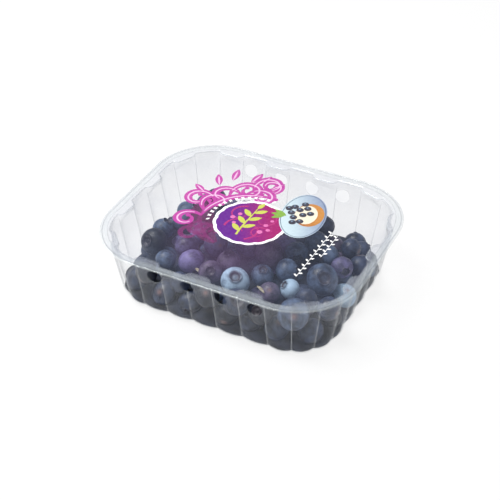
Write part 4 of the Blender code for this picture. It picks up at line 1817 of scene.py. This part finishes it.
@dataclass(frozen=True)
class Studio:
    """Pale floor, soft light and the camera."""

    azimuth: float = 26.77
    elevation: float = 37.11
    distance: float = 0.672
    aim: Place = (0.0032, -0.0099, 0.0274)
    lens: float = 83.68
    sensor: float = 36.0
    nearest: float = 0.01
    floor_half: float = 20.0
    floor_drop: float = 0.0002
    floor_cells: int = 4
    floor_glow: float = 0.82
    floor_colour: Colour = (0.15, 0.15, 0.15, 1.0)
    floor_roughness: float = 0.9
    room_light: float = 0.32
    bounces: int = 10
    clear_bounces: int = 48
    lights: tuple[SoftLight, ...] = (
        SoftLight("overhead_light", (-0.42, -0.10, 1.02), 0.6, 15.0),
        SoftLight("left_light", (-1.00, -0.40, 0.70), 0.6, 3.0),
        SoftLight("front_light", (0.70, -1.00, 0.80), 0.6, 2.5),
    )

    def build_floor(self) -> None:
        """Lay the floor, a plain pale square of a few cells."""
        side = self.floor_cells + 1
        grid = np.linspace(-self.floor_half, self.floor_half, side)
        x, y = np.meshgrid(grid, grid, indexing="ij")
        points = np.stack([x, y, np.full_like(x, -self.floor_drop)], axis=2).reshape(-1, 3)
        row, column = np.meshgrid(np.arange(self.floor_cells), np.arange(self.floor_cells),
                                  indexing="ij")
        here = (row * side + column).ravel()
        faces = np.column_stack([here, here + side, here + side + 1, here + 1])
        finish = Graph("pale_floor").dress(
            Base_Color=self.floor_colour, Roughness=self.floor_roughness,
            Emission_Color=WHITE, Emission_Strength=self.floor_glow, Specular_IOR_Level=0.0)
        make_piece("floor", points, [faces], finish, None)

    def build_world(self) -> None:
        """Fill the room with even pale light, and let it pass through all the clear sheets."""
        world = bpy.data.worlds.new("pale_room")
        world.use_nodes = True
        background = world.node_tree.nodes["Background"]
        background.inputs["Color"].default_value = WHITE
        background.inputs["Strength"].default_value = self.room_light
        scene = bpy.context.scene
        scene.world = world
        scene.view_settings.view_transform = 'Standard'
        scene.view_settings.look = 'None'
        scene.cycles.transparent_max_bounces = self.clear_bounces
        scene.cycles.max_bounces = self.bounces

    def build_camera(self) -> None:
        """Set up the camera where the photographer stood."""
        turn, tilt = math.radians(self.azimuth), math.radians(self.elevation)
        back = Vector((math.sin(turn) * math.cos(tilt), -math.cos(turn) * math.cos(tilt),
                       math.sin(tilt)))
        data = bpy.data.cameras.new("camera")
        data.sensor_width = self.sensor
        data.lens = self.lens
        data.clip_start = self.nearest
        camera = bpy.data.objects.new("camera", data)
        camera.location = Vector(self.aim) + back * self.distance
        camera.rotation_euler = (-back).to_track_quat('-Z', 'Y').to_euler()
        bpy.context.scene.collection.objects.link(camera)
        bpy.context.scene.camera = camera

    def build(self) -> None:
        """Set up the whole studio."""
        self.build_floor()
        self.build_world()
        self.build_camera()
        for light in self.lights:
            light.build()


def main() -> None:
    """Build the studio, then the punnet piece by piece."""
    logging.basicConfig(level=logging.INFO, format="%(name)s %(message)s")
    rim = Rim()
    tray = Tray(rim)
    film = Film(rim)
    heap = Heap(tray)
    Studio().build()
    tray.build()
    heap.build_core()
    heap.build_berries()
    Scraps().build()
    film.build()
    Print(film).build()


if __name__ == "__main__":
    main()
